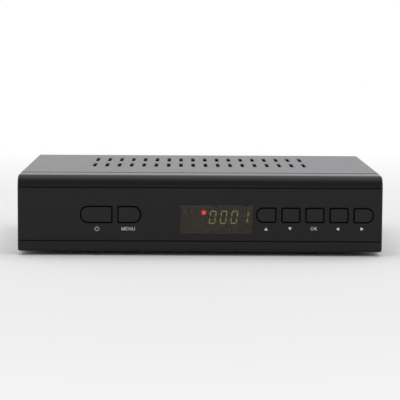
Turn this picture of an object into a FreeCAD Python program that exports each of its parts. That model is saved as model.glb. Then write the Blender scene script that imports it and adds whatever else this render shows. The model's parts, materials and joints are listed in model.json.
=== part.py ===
import FreeCAD, Part

import math
import os
from collections import namedtuple

# Satellite television receiver: a small set-top box.
# Frame: +Z up, the front faces -Y, origin under the middle of the whole box at table height.
# The functions below work in body coordinates: x across, y back from the front face, z up from
# the underside of the bezel. save() moves the finished solids into the frame.
# All sizes are in millimetres.

V = FreeCAD.Vector
Key = namedtuple("Key", "name x width height left_round right_round")

# ---- modelling margins ----------------------------------------------------------------------
PAST = 1.0  # how far a cutting tool runs past the faces it opens
SUNK = 0.5  # how far blocks run into each other before they are joined
TINY = 1e-6  # two coordinates closer than this are the same

# ---- casing ---------------------------------------------------------------------------------
BODY_W = 220.0  # width over the front bezel
BODY_H = 46.0  # height of the front bezel
BODY_D = 155.0  # front face to the rear face of the cover
FOOT_DROP = 2.5  # height of the bezel's underside above the table
SHEET = 0.8  # steel sheet of the tray and the cover
SLIP = 0.2  # gap between parts that slide past each other
COVER_INSET = 0.2  # step from the bezel's ends in to the cover's sides
COVER_RISE = 0.15  # cover's top above the top of the bezel
COVER_BEND = 1.0  # outer bend radius of the cover
COVER_CLEAR = 1.0  # lower edge of the cover's sides above the bezel's underside
COVER_LIP_H = 8.35  # height of the cover's folded rear edge
TRAY_Z = 0.6  # underside of the tray above the bezel's underside
TRAY_SIDE_H = 13.0  # height of the tray's side walls
TRAY_FRONT_H = 10.0  # height of the tray's front wall
SEAM = 0.8  # gap between the bezel and the sheet parts behind it

# ---- bezel ----------------------------------------------------------------------------------
BEZEL_D = 20.0  # depth of the bezel
WALL = 2.2  # moulded wall of the bezel
TOP_BAND = 7.3  # upper groove below the top of the bezel
LOW_BAND = 6.4  # lower groove above the bottom of the bezel
GROOVE_W = 0.6
GROOVE_DEPTH = 0.7
GROOVE_LIP = 0.15  # chamfer on the lips of a groove
FOOT_ROUND = 1.5  # rounding of the lower front edge
END_ROUND = 1.3  # rounding of the two ends
LIP_ROUND = 0.2  # rounding of the openings' front edges
TONGUE_T = 1.0  # tongue that reaches under the cover
TONGUE_L = 4.0
HOOK_COUNT = 3
HOOK_PITCH = 78.0
HOOK_W = 8.0
HOOK_T = 1.6
HOOK_NOSE = 3.0  # length of a hook's nose behind the tray's front wall
HOOK_CATCH = 0.8  # how far the nose stands above the slot
HOOK_ROOT = 6.0  # length of the block that carries a hook

# ---- keys -----------------------------------------------------------------------------------
KEY_Z = 22.45  # centre line of all keys
KEY_GAP = 0.8  # gap round a key in its opening
KEY_PROUD = 0.6  # how far a key stands out of the front face
KEY_TRAVEL = 0.3
KEY_EDGE = 0.25  # rounding of a key's front edge
KEY_CORNER = 0.6  # corner radius of a square key end
CORNER_GROW = 0.25  # growth of that radius for each mm that the outline grows
KEY_END_FLAT = 0.3  # half of the straight stretch left at a round key end
KEY_FLANGE = 0.6  # flange that keeps a key behind its opening
KEY_FLANGE_T = 1.0
KEY_SEAT = 0.05  # play between the flange and the bezel's wall
STEM_R = 2.2
COLLAR_CLEAR = 0.2  # collar that guides a key's flange
COLLAR_T = 0.8
COLLAR_D = 3.0
POWER_KEY_W = 18.0
MENU_KEY_W = 12.8
BIG_KEY_H = 8.9
BIG_KEY_SPACE = 4.5  # between the power key and the menu key
SMALL_KEY_W = 9.9
SMALL_KEY_H = 7.7
END_KEY_W = 10.6  # width of the first and last keys in the row
KEY_SPACE = 4.6  # between two keys in the row
KEY_MARGIN = 6.2  # last key from the right end of the bezel
WINDOW_SPACE = 2.5  # between the window and the first key in the row
MENU_SPACE = 24.3  # between the menu key and the window

# ---- display --------------------------------------------------------------------------------
WINDOW_W = 44.0
WINDOW_H = 17.9
WINDOW_Z = 19.65
WINDOW_GAP = 0.1
WINDOW_SINK = 0.1  # front of the window behind the front face
WINDOW_RIM = 1.5  # rim above and below the window, behind the bezel's wall
WINDOW_RIM_T = 1.2
DISPLAY_GAP = 0.6  # display module behind the window's rim
MODULE_W = 26.0
MODULE_H = 12.6
MODULE_D = 7.0
DIGIT_COUNT = 4
DIGIT_W = 3.9
DIGIT_H = 7.9
DIGIT_PITCH = 6.5
DIGIT_STROKE = 0.62
DIGIT_SLANT = 8.0  # degrees
DIGIT_GAP = 0.28
DIGIT_T = 0.15
DIGIT_Z = 20.75
DIGIT_SHIFT = 7.35  # middle of the digits from the middle of the window
LAMP_SHIFT = -7.75  # status lamp from the middle of the window
LAMP_Z = 23.2
LAMP_R = 1.5
LAMP_L = 5.6
LAMP_RIM_R = 1.75
LAMP_RIM_T = 1.0
EYE_SHIFT = -17.4  # remote-control eye from the middle of the window
EYE_Z = 23.3
EYE_W = 6.0
EYE_H = 7.0
EYE_D = 2.8
EYE_LENS_R = 2.1
EYE_OFF = 1.6  # back of the eye in front of its board
EYE_LEAD = 0.6
EYE_LEAD_L = 2.0
EYE_LEAD_PITCH = 1.9

# ---- front board ----------------------------------------------------------------------------
BOARD_T = 1.6
FRONT_BOARD_LOW = 6.3  # lower edge above the bezel's bottom wall
FRONT_BOARD_HIGH = 3.3  # upper edge below the bezel's top wall
FRONT_BOARD_LEFT = 7.1  # left edge beyond the power key
FRONT_BOARD_RIGHT = 3.6  # right edge from the end of the bezel
BOSS_R = 3.0
BOSS_EDGE = 3.9  # boss centre from the board's edges
TAPPER_R = 1.25  # self-tapping screws
TAPPER_L = 6.0
TAPPER_HEAD_R = 2.4
TAPPER_HEAD_H = 1.6
TACT_SIZE = 6.0
TACT_H = 3.5
TACT_LEG = 0.8
TACT_LEG_T = 0.2
PLUNGER_R = 1.75
PLUNGER_PROUD = 1.0
PLUNGER_DEEP = 1.1
PLUNGER_CLEAR = 0.1

# ---- screws, standoffs and feet -------------------------------------------------------------
SCREW_R = 1.5
SCREW_L = 5.0
TAP_CLEAR = 0.05  # tapped or pressed hole over what sits in it
FREE_CLEAR = 0.2  # clearance hole over the screw
HEAD_R = 2.75
HEAD_H = 1.8
FLAT_HEAD_H = 1.4  # depth of a countersunk head
FLAT_SCREW_L = 4.0  # with its head
HEAD_ROUND = 0.45  # share of a pan head's height that is rounded
DRIVE_W = 0.8  # cross recess
DRIVE_L = 3.2
DRIVE_DEPTH = 0.8
REAR_SCREW_EDGE = 14.0  # outer rear screws from the ends of the bezel
SIDE_SCREW_Z = 5.0
SIDE_SCREW_FRONT = 17.7  # behind the cover's front edge
SIDE_SCREW_REAR = 17.0  # from the cover's rear face
STANDOFF_H = 6.0
STANDOFF_R = 2.75
STANDOFF_FOOT_R = 2.0
FOOT_R = 7.0
FOOT_EDGE = 1.0  # rounding of a foot's lower edge
FOOT_STEM_R = 2.0
FOOT_STEM_CLEAR = 0.1
FOOT_BARB_R = 2.7
FOOT_BARB_TIP_R = 1.2
FOOT_BARB_H = 2.0
FOOT_X = 20.0  # from the ends of the bezel
FOOT_FRONT = 34.0  # from the front face
FOOT_REAR = 21.0  # from the cover's rear face

# ---- vents ----------------------------------------------------------------------------------
VENT_W = 2.4
VENT_L = 25.0
VENT_PITCH = 7.9
VENT_COUNT = 18
VENT_REAR = 38.5  # middle of the rear row from the cover's rear face
VENT_ROW_PITCH = 41.5
SIDE_VENT_L = 16.0
SIDE_VENT_COUNT = 10
SIDE_VENT_Z = 26.0
FLOOR_VENT_COUNT = 12
FLOOR_VENT_L = 20.0

# ---- main board -----------------------------------------------------------------------------
MAIN_BOARD_FRONT = 48.0  # front edge from the front face
MAIN_BOARD_BESIDE = 1.0  # side edges beyond the outer sockets
MAIN_BOARD_REAR = 0.7  # rear edge from the rear panel
FIXING_EDGE = 6.0  # fixing holes from the board's edges
REAR_FIXING = 25.0  # rear fixing holes from the rear panel
TUNER_FIXING = 9.0  # right rear fixing hole from the tuner

# ---- aerial connectors ----------------------------------------------------------------------
TUNER_W = 40.0
TUNER_D = 48.0
TUNER_H = 15.0
TUNER_WALL = 0.8
TUNER_RIB = 1.0
TUNER_DIMPLE_R = 2.0
TUNER_DIMPLE_DEPTH = 1.0
TUNER_DIMPLE_PITCH = 12.0
AERIAL_PITCH = 20.0
AERIAL_Z = 7.8  # above the main board
AERIAL_REACH = 11.0  # beyond the rear panel
AERIAL_THREAD_R = 4.76
AERIAL_SHANK_R = 4.6
AERIAL_MOUTH_R = 3.6
AERIAL_MOUTH_D = 1.2
AERIAL_PIN_R = 0.7  # hole for the plug's centre pin
AERIAL_PIN_D = 7.0
AERIAL_NUT_WIDTH = 11.0  # across the flats
AERIAL_NUT_T = 2.6
AERIAL_NUT_CLEAR = 0.08
AERIAL_HOLE_CLEAR = 0.5

# ---- audio sockets --------------------------------------------------------------------------
PHONO_COUNT = 3
PHONO_PITCH = 12.0
PHONO_Z = 7.0  # above the main board
PHONO_BARREL_R = 4.15
PHONO_BARREL_T = 0.5
PHONO_BASE_R = 4.35
PHONO_REACH = 8.5  # beyond the rear panel
PHONO_RING_R = 5.2
PHONO_RING_PROUD = 1.5
PHONO_CORE_R = 3.3
PHONO_CORE_SINK = 1.2
PHONO_PIN_R = 1.6  # hole for the plug's centre pin
PHONO_BLOCK_D = 12.0
PHONO_BLOCK_H = 13.0
PHONO_BLOCK_EDGE = 0.5  # block beyond the outer rings

# ---- television socket ----------------------------------------------------------------------
SCART_W = 49.0
SCART_H = 16.6
SCART_D = 20.0
SCART_PROUD = 0.8
SCART_SKIRT = 1.4  # outer wall of the socket
SCART_CHANNEL = 2.0  # gap that takes the plug's skirt
SCART_CHANNEL_D = 9.0
SCART_SLANT = 4.5  # cut corner that keys the plug
SCART_SLOTS = 10  # contact slots in a row
SCART_SLOT_PITCH = 3.81
SCART_SLOT_W = 1.1
SCART_SLOT_H = 3.3
SCART_SLOT_D = 8.0
SCART_ROW = 2.2  # rows of slots above and below the middle
SCART_EAR = 7.0
SCART_EAR_T = 3.0
SCART_EAR_H = 9.2
CONTACT_T = 0.4
CONTACT_H = 2.3
CONTACT_SINK = 1.0  # contacts behind the mouth of their slots
CUTOUT_CLEAR = 0.25  # panel cut-outs round the sockets

# ---- picture and data sockets ---------------------------------------------------------------
SHELL_T = 0.4  # sheet of both shells
SHELL_PROUD = 0.7
SOCKET_BACK = 3.0  # moulded back of both sockets
TONGUE_SINK = 1.0
PICTURE_W = 15.0
PICTURE_H = 6.2
PICTURE_D = 12.0
PICTURE_SLANT = 1.6
PICTURE_TONGUE_W = 11.2
PICTURE_TONGUE_T = 1.3
DATA_W = 13.2
DATA_H = 6.0
DATA_D = 14.0
DATA_TONGUE_W = 11.2
DATA_TONGUE_T = 1.9
DATA_TONGUE_RAISE = 0.8

# ---- supply socket and switch ---------------------------------------------------------------
SUPPLY_W = 9.0
SUPPLY_H = 11.0
SUPPLY_D = 13.5
SUPPLY_NOSE_R = 4.0
SUPPLY_PROUD = 0.5
SUPPLY_BORE_R = 2.8
SUPPLY_BORE_D = 9.5
SUPPLY_PIN_R = 1.05
SUPPLY_PIN_SINK = 0.8
SWITCH_RIM_W = 15.0
SWITCH_RIM_H = 21.0
SWITCH_RIM_T = 2.0
SWITCH_RIM_ROUND = 0.6
SWITCH_BODY_W = 12.8
SWITCH_BODY_H = 18.8
SWITCH_BODY_D = 12.0
SWITCH_TAG_W = 4.0
SWITCH_TAG_T = 0.8
SWITCH_TAG_L = 4.0
SWITCH_TAG_Z = 4.0  # tags above and below the pivot
ROCKER_W = 9.6
ROCKER_R = 7.8
ROCKER_CLEAR = 0.3
ROCKER_BACK = 2.0  # back of the rocker from its pivot
ROCKER_FACE = 3.9  # tips of the rocker from its pivot
ROCKER_DISH = 1.0
ROCKER_PIVOT = 3.5  # pivot behind the rim's face
ROCKER_TILT = 10.0  # degrees each side of the middle
TRUNNION_R = 1.0
TRUNNION_L = 0.8
TRUNNION_CLEAR = 0.06

# ---- parts on the boards --------------------------------------------------------------------
HEADER_W = 17.0
HEADER_T = 5.0
HEADER_L = 6.0
FRONT_HEADER_Z = 24.0
MAIN_HEADER_Y = 8.0  # from the main board's front edge
RIBBON_W = 14.0
RIBBON_T = 0.9
RIBBON_OUT = [(8.0, 0.0), (16.0, 5.0)]  # points of the arch, back and up from the front header
RIBBON_IN = [(-11.0, 16.0), (0.0, 10.0)]  # and from the main header
LEAD_R = 0.7
LEAD_EDGE = 2.5  # leads land this far from the main board's side edge
# For the upper and the lower lead: straight out of the tag, forward to its end, and the top of
# its last bend from the tag.
LEAD_RUNS = [(12.0, 24.0, -3.0), (9.0, 19.0, 2.5)]
CHIP_X = -12.0
CHIP_Y = 36.0  # from the main board's front edge
CHIP_W = 27.0
CHIP_T = 2.0
MEMORY_W = 11.0
MEMORY_L = 13.5
MEMORY_T = 1.2
MEMORY_AWAY = 34.0  # memory chips beside the processor
MEMORY_STEP = 8.0
SINK_W = 36.0
SINK_H = 14.0
SINK_BASE = 2.5
SINK_FIN = 1.2
SINK_FINS = 8
CAPACITOR_R = 4.0
CAPACITOR_H = 12.0
CAPACITOR_ROUND = 0.5
COIL_W = 9.0
COIL_H = 5.0
CAPACITOR_ACROSS = 6.0  # first capacitor from the middle of the supply socket
CAPACITOR_FORWARD = 34.0  # and from the rear panel
CAPACITOR_PITCH = 11.0
CAPACITOR_ROW = 14.0  # second row in front of the first
COIL_ACROSS = 20.0  # first coil from the middle of the supply socket
COIL_FORWARD = 46.0  # and from the rear panel
COIL_PITCH = 14.0
TUNER_SIDE = 14.0  # capacitor and coil beside the tuner
TUNER_CAPACITOR = 60.0  # forward from the rear panel
TUNER_COIL = 76.0  # forward from the rear panel
AUDIO_CAPACITOR = 30.0  # in front of the rear panel, behind the phono block
CRYSTAL_AWAY = 7.0  # behind the heat sink
CRYSTAL_L = 11.0
CRYSTAL_W = 4.6
CRYSTAL_H = 3.6
CRYSTAL_ROUND = 2.0

# ---- places worked out from the sizes -------------------------------------------------------
LEFT = -BODY_W / 2
RIGHT = BODY_W / 2
TOP_ROUND = TOP_BAND - GROOVE_W / 2
COVER_X = BODY_W / 2 - COVER_INSET
COVER_TOP = BODY_H + COVER_RISE
COVER_FRONT = BEZEL_D + SEAM
INNER_X = COVER_X - SHEET  # inside of the cover's sides
INNER_TOP = COVER_TOP - SHEET
TRAY_X = INNER_X - SLIP  # outside of the tray's sides
TRAY_TOP = INNER_TOP - SLIP
FLOOR_TOP = TRAY_Z + SHEET
PANEL_Y = BODY_D - SHEET - SLIP  # outer face of the rear panel
PANEL_IN = PANEL_Y - SHEET  # inner face of the rear panel
SOCKET_Y = PANEL_IN - SLIP  # front face of what stands against the rear panel
HOOK_Z = FLOOR_TOP + SLIP
VENT_ROWS = [BODY_D - VENT_REAR - VENT_ROW_PITCH, BODY_D - VENT_REAR]
COVER_SCREW_Z = COVER_TOP - COVER_LIP_H / 2
REAR_SCREWS = [LEFT + REAR_SCREW_EDGE, 0.0, RIGHT - REAR_SCREW_EDGE]
SIDE_SCREWS = [(s, y) for s in (-1, 1) for y in (COVER_FRONT + SIDE_SCREW_FRONT, BODY_D - SIDE_SCREW_REAR)]
FEET = [(s * (BODY_W / 2 - FOOT_X), y) for s in (-1, 1) for y in (FOOT_FRONT, BODY_D - FOOT_REAR)]

MODULE_FACE = WALL + WINDOW_RIM_T + DISPLAY_GAP
FRONT_BOARD_Y = MODULE_FACE + MODULE_D
FRONT_BOARD_BACK = FRONT_BOARD_Y + BOARD_T
TACT_FACE = FRONT_BOARD_Y - TACT_H
TACT_TIP = TACT_FACE - PLUNGER_PROUD

# The front, from the right end to the left: five keys in a row, the window, the menu and power keys.
KEY_PITCH = SMALL_KEY_W + KEY_SPACE
RIGHT_KEY_X = RIGHT - KEY_MARGIN - END_KEY_W / 2
LEFT_KEY_X = RIGHT_KEY_X - END_KEY_W / 2 - KEY_SPACE - SMALL_KEY_W / 2
UP_KEY_X = LEFT_KEY_X - 2 * KEY_PITCH - SMALL_KEY_W / 2 - KEY_SPACE - END_KEY_W / 2
WINDOW_X = UP_KEY_X - END_KEY_W / 2 - WINDOW_SPACE - WINDOW_W / 2
MENU_KEY_X = WINDOW_X - WINDOW_W / 2 - MENU_SPACE - MENU_KEY_W / 2
POWER_KEY_X = MENU_KEY_X - MENU_KEY_W / 2 - BIG_KEY_SPACE - POWER_KEY_W / 2
BIG_ROUND = BIG_KEY_H / 2 - KEY_END_FLAT
SMALL_ROUND = SMALL_KEY_H / 2 - KEY_END_FLAT
KEYS = [
    Key("power", POWER_KEY_X, POWER_KEY_W, BIG_KEY_H, BIG_ROUND, KEY_CORNER),
    Key("menu", MENU_KEY_X, MENU_KEY_W, BIG_KEY_H, KEY_CORNER, BIG_ROUND),
    Key("up", UP_KEY_X, END_KEY_W, SMALL_KEY_H, SMALL_ROUND, KEY_CORNER),
    Key("down", LEFT_KEY_X - 2 * KEY_PITCH, SMALL_KEY_W, SMALL_KEY_H, KEY_CORNER, KEY_CORNER),
    Key("ok", LEFT_KEY_X - KEY_PITCH, SMALL_KEY_W, SMALL_KEY_H, KEY_CORNER, KEY_CORNER),
    Key("left", LEFT_KEY_X, SMALL_KEY_W, SMALL_KEY_H, KEY_CORNER, KEY_CORNER),
    Key("right", RIGHT_KEY_X, END_KEY_W, SMALL_KEY_H, KEY_CORNER, SMALL_ROUND),
]
FRONT_BOARD_X0 = POWER_KEY_X - POWER_KEY_W / 2 - FRONT_BOARD_LEFT
FRONT_BOARD_X1 = RIGHT - FRONT_BOARD_RIGHT
FRONT_BOARD_Z0 = WALL + FRONT_BOARD_LOW
FRONT_BOARD_Z1 = BODY_H - WALL - FRONT_BOARD_HIGH
BOSS_MID_X = WINDOW_X - WINDOW_W / 2 - MENU_SPACE / 2
FRONT_FIXINGS = [
    (x, z)
    for x in (FRONT_BOARD_X0 + BOSS_EDGE, BOSS_MID_X, FRONT_BOARD_X1 - BOSS_EDGE)
    for z in (FRONT_BOARD_Z0 + BOSS_EDGE, FRONT_BOARD_Z1 - BOSS_EDGE)
]

# The rear, from left to right as seen from the front, with equal gaps between the sockets.
PHONO_BLOCK_W = (PHONO_COUNT - 1) * PHONO_PITCH + 2 * (PHONO_RING_R + PHONO_BLOCK_EDGE)
REAR_WIDTHS = {
    "switch": SWITCH_RIM_W,
    "supply": SUPPLY_W,
    "data": DATA_W,
    "picture": PICTURE_W,
    "scart": SCART_W + 2 * SCART_EAR,
    "phono": PHONO_BLOCK_W,
    "tuner": TUNER_W,
}
REAR_GAP = (2 * (TRAY_X - SHEET) - sum(REAR_WIDTHS.values())) / (len(REAR_WIDTHS) + 1)


def rear_place(name):
    """Middle of a socket in the rear row."""
    names = list(REAR_WIDTHS)
    before = names[: names.index(name)]
    passed = sum(REAR_WIDTHS[n] for n in before) + REAR_GAP * (len(before) + 1)
    return SHEET - TRAY_X + passed + REAR_WIDTHS[name] / 2


SWITCH_X = rear_place("switch")
SWITCH_Z = (FLOOR_TOP + COVER_TOP - COVER_LIP_H) / 2
PIVOT_Y = PANEL_Y + SWITCH_RIM_T - ROCKER_PIVOT
SUPPLY_X = rear_place("supply")
DATA_X = rear_place("data")
PICTURE_X = rear_place("picture")
SCART_X = rear_place("scart")
TUNER_X = rear_place("tuner")
BOARD_Z = FLOOR_TOP + STANDOFF_H  # underside of the main board
BOARD_TOP = BOARD_Z + BOARD_T
BOARD_X0 = SUPPLY_X - SUPPLY_W / 2 - MAIN_BOARD_BESIDE
BOARD_X1 = TUNER_X + TUNER_W / 2 + MAIN_BOARD_BESIDE
BOARD_BACK = PANEL_IN - MAIN_BOARD_REAR
SUPPLY_Z = BOARD_TOP + SUPPLY_H / 2
DATA_Z = BOARD_TOP + DATA_H / 2
PICTURE_Z = BOARD_TOP + PICTURE_H / 2
SCART_Z = BOARD_TOP + SCART_H / 2
PHONO_SOCKET_Z = BOARD_TOP + PHONO_Z
AERIAL_SOCKET_Z = BOARD_TOP + AERIAL_Z
REACH_Y = PANEL_Y + AERIAL_REACH
MAIN_FIXINGS = [
    (BOARD_X0 + FIXING_EDGE, MAIN_BOARD_FRONT + FIXING_EDGE),
    (BOARD_X1 - FIXING_EDGE, MAIN_BOARD_FRONT + FIXING_EDGE),
    (BOARD_X0 + FIXING_EDGE, PANEL_IN - REAR_FIXING),
    (TUNER_X - TUNER_W / 2 - TUNER_FIXING, PANEL_IN - REAR_FIXING),
]
OVERALL_D = KEY_PROUD + REACH_Y
FRONT_Y = KEY_PROUD - OVERALL_D / 2  # the front face in the frame


# ---- building blocks ------------------------------------------------------------------------
def box(x0, x1, y0, y1, z0, z1):
    return Part.makeBox(x1 - x0, y1 - y0, z1 - z0, V(x0, y0, z0))


def block(x, w, y0, y1, z, h):
    """A box centred on x and z."""
    return box(x - w / 2, x + w / 2, y0, y1, z - h / 2, z + h / 2)


def slab(x, w, y, d, z0, z1):
    """A box centred on x and y."""
    return box(x - w / 2, x + w / 2, y - d / 2, y + d / 2, z0, z1)


def rod_x(r, x0, x1, y, z):
    return Part.makeCylinder(r, x1 - x0, V(x0, y, z), V(1, 0, 0))


def rod_y(r, x, y0, y1, z):
    return Part.makeCylinder(r, y1 - y0, V(x, y0, z), V(0, 1, 0))


def rod_z(r, x, y, z0, z1):
    return Part.makeCylinder(r, z1 - z0, V(x, y, z0), V(0, 0, 1))


def tube_y(r_out, r_in, x, y0, y1, z):
    return rod_y(r_out, x, y0, y1, z).cut(rod_y(r_in, x, y0 - PAST, y1 + PAST, z))


def join(shapes):
    first, *rest = shapes
    return first.fuse(rest).removeSplitter()


def cut(shape, tools):
    return shape.cut(Part.makeCompound(tools))


def prism(points, direction):
    """A straight-sided solid: a closed polygon, extruded."""
    return Part.Face(Part.makePolygon([*points, points[0]])).extrude(direction)


def rounded_block(x, w, y0, y1, z, h, left_round, right_round):
    """A block with its own corner radius at its left and right ends, seen from the front."""
    solid = block(x, w, y0, y1, z, h)
    for side, radius in ((-1, left_round), (1, right_round)):
        edge_x = x + side * w / 2
        corners = [e for e in solid.Edges if all(abs(v.X - edge_x) < TINY for v in e.Vertexes)]
        along_y = [e for e in corners if abs(e.Vertexes[0].Y - e.Vertexes[1].Y) > TINY]
        solid = solid.makeFillet(radius, along_y)
    return solid


def slot(middle, along, through, length, width, depth):
    """A slot with round ends that runs along one direction and is cut through another."""
    half = along * ((length - width) / 2)
    side = along.cross(through) * (width / 2)
    tip = along * (width / 2)
    near = middle - through * (depth / 2) - half
    far = middle - through * (depth / 2) + half
    edges = [
        Part.LineSegment(near + side, far + side).toShape(),
        Part.Arc(far + side, far + tip, far - side).toShape(),
        Part.LineSegment(far - side, near - side).toShape(),
        Part.Arc(near - side, near - tip, near + side).toShape(),
    ]
    return Part.Face(Part.Wire(edges)).extrude(through * depth)


def spread(count, pitch):
    """Evenly spaced places about zero."""
    return [(i - (count - 1) / 2) * pitch for i in range(count)]


def edges_at_y(shape, y):
    """Edges that lie in the plane at y."""
    return [e for e in shape.Edges if all(abs(v.Y - y) < TINY for v in e.Vertexes)]


def edges_at_z(shape, z):
    """Edges that lie in the plane at z."""
    return [e for e in shape.Edges if all(abs(v.Z - z) < TINY for v in e.Vertexes)]


def cross_recess(seat, outward, height):
    """The cross that a screwdriver turns, cut into a head of the given height."""
    up = V(0, 0, 1) if abs(outward.z) < 0.5 else V(1, 0, 0)
    aside = outward.cross(up)
    floor = seat + outward * (height - DRIVE_DEPTH)
    bars = []
    for a, b in ((up, aside), (aside, up)):
        corner = floor - a * (DRIVE_L / 2) - b * (DRIVE_W / 2)
        points = [corner, corner + a * DRIVE_L, corner + a * DRIVE_L + b * DRIVE_W, corner + b * DRIVE_W]
        bars.append(prism(points, outward * (DRIVE_DEPTH + PAST)))
    return bars


def pan_screw(seat, inward, r=SCREW_R, length=SCREW_L, head_r=HEAD_R, head_h=HEAD_H):
    """A pan-head screw: its head stands on seat, its shank goes inward."""
    outward = inward * -1.0
    head = Part.makeCylinder(head_r, head_h, seat, outward)
    rim = [e for e in head.Edges if e.Closed and (e.CenterOfMass - seat).dot(outward) > head_h / 2]
    head = head.makeFillet(head_h * HEAD_ROUND, rim)
    shank = Part.makeCylinder(r, length, seat, inward)
    return cut(join([head, shank]), cross_recess(seat, outward, head_h))


def flat_screw(face, inward):
    """A countersunk screw whose head is level with the face around it."""
    head = Part.makeCone(HEAD_R, SCREW_R, FLAT_HEAD_H, face, inward)
    shank = Part.makeCylinder(SCREW_R, FLAT_SCREW_L, face, inward)
    return cut(join([head, shank]), cross_recess(face, inward * -1.0, 0.0))


def countersink(face, inward, shank_clear):
    """The hole for a countersunk screw."""
    back = face - inward * PAST
    grow = PAST * (HEAD_R - SCREW_R) / FLAT_HEAD_H
    cone = Part.makeCone(HEAD_R + grow + TAP_CLEAR, SCREW_R + TAP_CLEAR, FLAT_HEAD_H + PAST, back, inward)
    return join([cone, Part.makeCylinder(SCREW_R + shank_clear, FLAT_SCREW_L, face, inward)])


def route(points, name):
    """Straight runs joined by tangent arcs, as large as the two runs beside each allow."""
    edges, last, radii = [], points[0], []
    for before, here, after in zip(points, points[1:], points[2:]):
        shorter = min((before - here).Length, (after - here).Length)
        a, b = (before - here).normalize(), (after - here).normalize()
        half = a.getAngle(b) / 2
        reach = 0.45 * shorter
        radius = reach * math.tan(half)
        middle = here + (a + b).normalize() * (radius / math.sin(half) - radius)
        edges.append(Part.LineSegment(last, here + a * reach).toShape())
        edges.append(Part.Arc(here + a * reach, middle, here + b * reach).toShape())
        last = here + b * reach
        radii.append(round(radius, 1))
    edges.append(Part.LineSegment(last, points[-1]).toShape())
    wire = Part.Wire(edges)
    print(f"{name}: length {wire.Length:.1f}, bend radii {radii}")
    return wire


def save(name, shapes):
    """Moves solids into the frame and writes them as one node."""
    placed = []
    for solid in [s for shape in shapes for s in shape.Solids]:
        moved = solid.copy()
        moved.translate(V(0, FRONT_Y, FOOT_DROP))
        placed.append(moved)
    Part.makeCompound(placed).exportStep(f"parts/{name}.step")


# ---- bezel and window -----------------------------------------------------------------------
def bezel_bar(inset, back, half):
    """The bezel's side profile, drawn out across the box: flat bottom, upright front, round top."""
    low, high, front = inset, BODY_H - inset, inset
    small, big = FOOT_ROUND, TOP_ROUND - inset
    diagonal = math.sqrt(0.5)
    low_centre = V(-half, front + small, low + small)
    high_centre = V(-half, front + big, high - big)
    edges = [
        Part.LineSegment(V(-half, back, low), V(-half, front + small, low)).toShape(),
        Part.Arc(
            V(-half, front + small, low),
            low_centre - V(0, small * diagonal, small * diagonal),
            V(-half, front, low + small),
        ).toShape(),
        Part.LineSegment(V(-half, front, low + small), V(-half, front, high - big)).toShape(),
        Part.Arc(
            V(-half, front, high - big),
            high_centre + V(0, -big * diagonal, big * diagonal),
            V(-half, front + big, high),
        ).toShape(),
        Part.LineSegment(V(-half, front + big, high), V(-half, back, high)).toShape(),
        Part.LineSegment(V(-half, back, high), V(-half, back, low)).toShape(),
    ]
    return Part.Face(Part.Wire(edges)).extrude(V(2 * half, 0, 0))


def portal(half, low, top, bend, y0, y1):
    """A block with its two upper long edges rounded."""
    solid = box(-half, half, y0, y1, low, top)
    upper = [e for e in edges_at_z(solid, top) if abs(e.Vertexes[0].Y - e.Vertexes[1].Y) > TINY]
    return solid.makeFillet(bend, upper)


def key_block(key, grow, y0, y1):
    """A block of the key's outline, grown on every side. Its square end keeps tighter corners."""
    rounds = (key.left_round, key.right_round)
    left, right = (r + grow * (CORNER_GROW if r == KEY_CORNER else 1) for r in rounds)
    return rounded_block(key.x, key.width + 2 * grow, y0, y1, KEY_Z, key.height + 2 * grow, left, right)


def tongue():
    """A thin collar behind the bezel that reaches under the cover's top and sides."""
    low = TRAY_Z + TRAY_SIDE_H + SLIP
    y0, y1 = BEZEL_D - SUNK, BEZEL_D + TONGUE_L
    outer = portal(TRAY_X, low, TRAY_TOP, COVER_BEND, y0, y1)
    inner = box(-TRAY_X + TONGUE_T, TRAY_X - TONGUE_T, y0 - PAST, y1 + PAST, low - PAST, TRAY_TOP - TONGUE_T)
    return outer.cut(inner)


def hook(x):
    """A snap hook on the bottom of the bezel: root, arm and nose behind the tray's front wall."""
    x0, x1, top = x - HOOK_W / 2, x + HOOK_W / 2, HOOK_Z + HOOK_T
    catch = COVER_FRONT + SHEET + SLIP
    tip = catch + HOOK_NOSE
    root = box(x0, x1, BEZEL_D - HOOK_ROOT, BEZEL_D, WALL - SUNK, top)
    arm = box(x0, x1, BEZEL_D - SUNK, tip, HOOK_Z, top)
    nose = prism([V(x0, catch, top), V(x0, catch, top + HOOK_CATCH), V(x0, tip, top)], V(HOOK_W, 0, 0))
    return join([root, arm, nose])


def groove(z):
    """A groove across the whole face, with its lips chamfered."""
    x0, narrow = -BODY_W / 2 - PAST, GROOVE_W / 2
    wide = narrow + GROOVE_LIP + PAST
    one_side = ((-PAST, wide), (GROOVE_LIP, narrow), (GROOVE_DEPTH, narrow))
    outline = [(y, -dz) for y, dz in one_side] + list(reversed(one_side))
    return prism([V(x0, y, z + dz) for y, dz in outline], V(BODY_W + 2 * PAST, 0, 0))


def opening_lips(shell):
    """Front edges of the key openings and the window opening."""
    z0, z1 = LOW_BAND + GROOVE_W, BODY_H - TOP_BAND - GROOVE_W
    mids = [(e, e.CenterOfMass) for e in edges_at_y(shell, 0)]
    return [e for e, mid in mids if z0 < mid.z < z1 and abs(mid.x) < BODY_W / 2 - 2 * END_ROUND]


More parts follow.
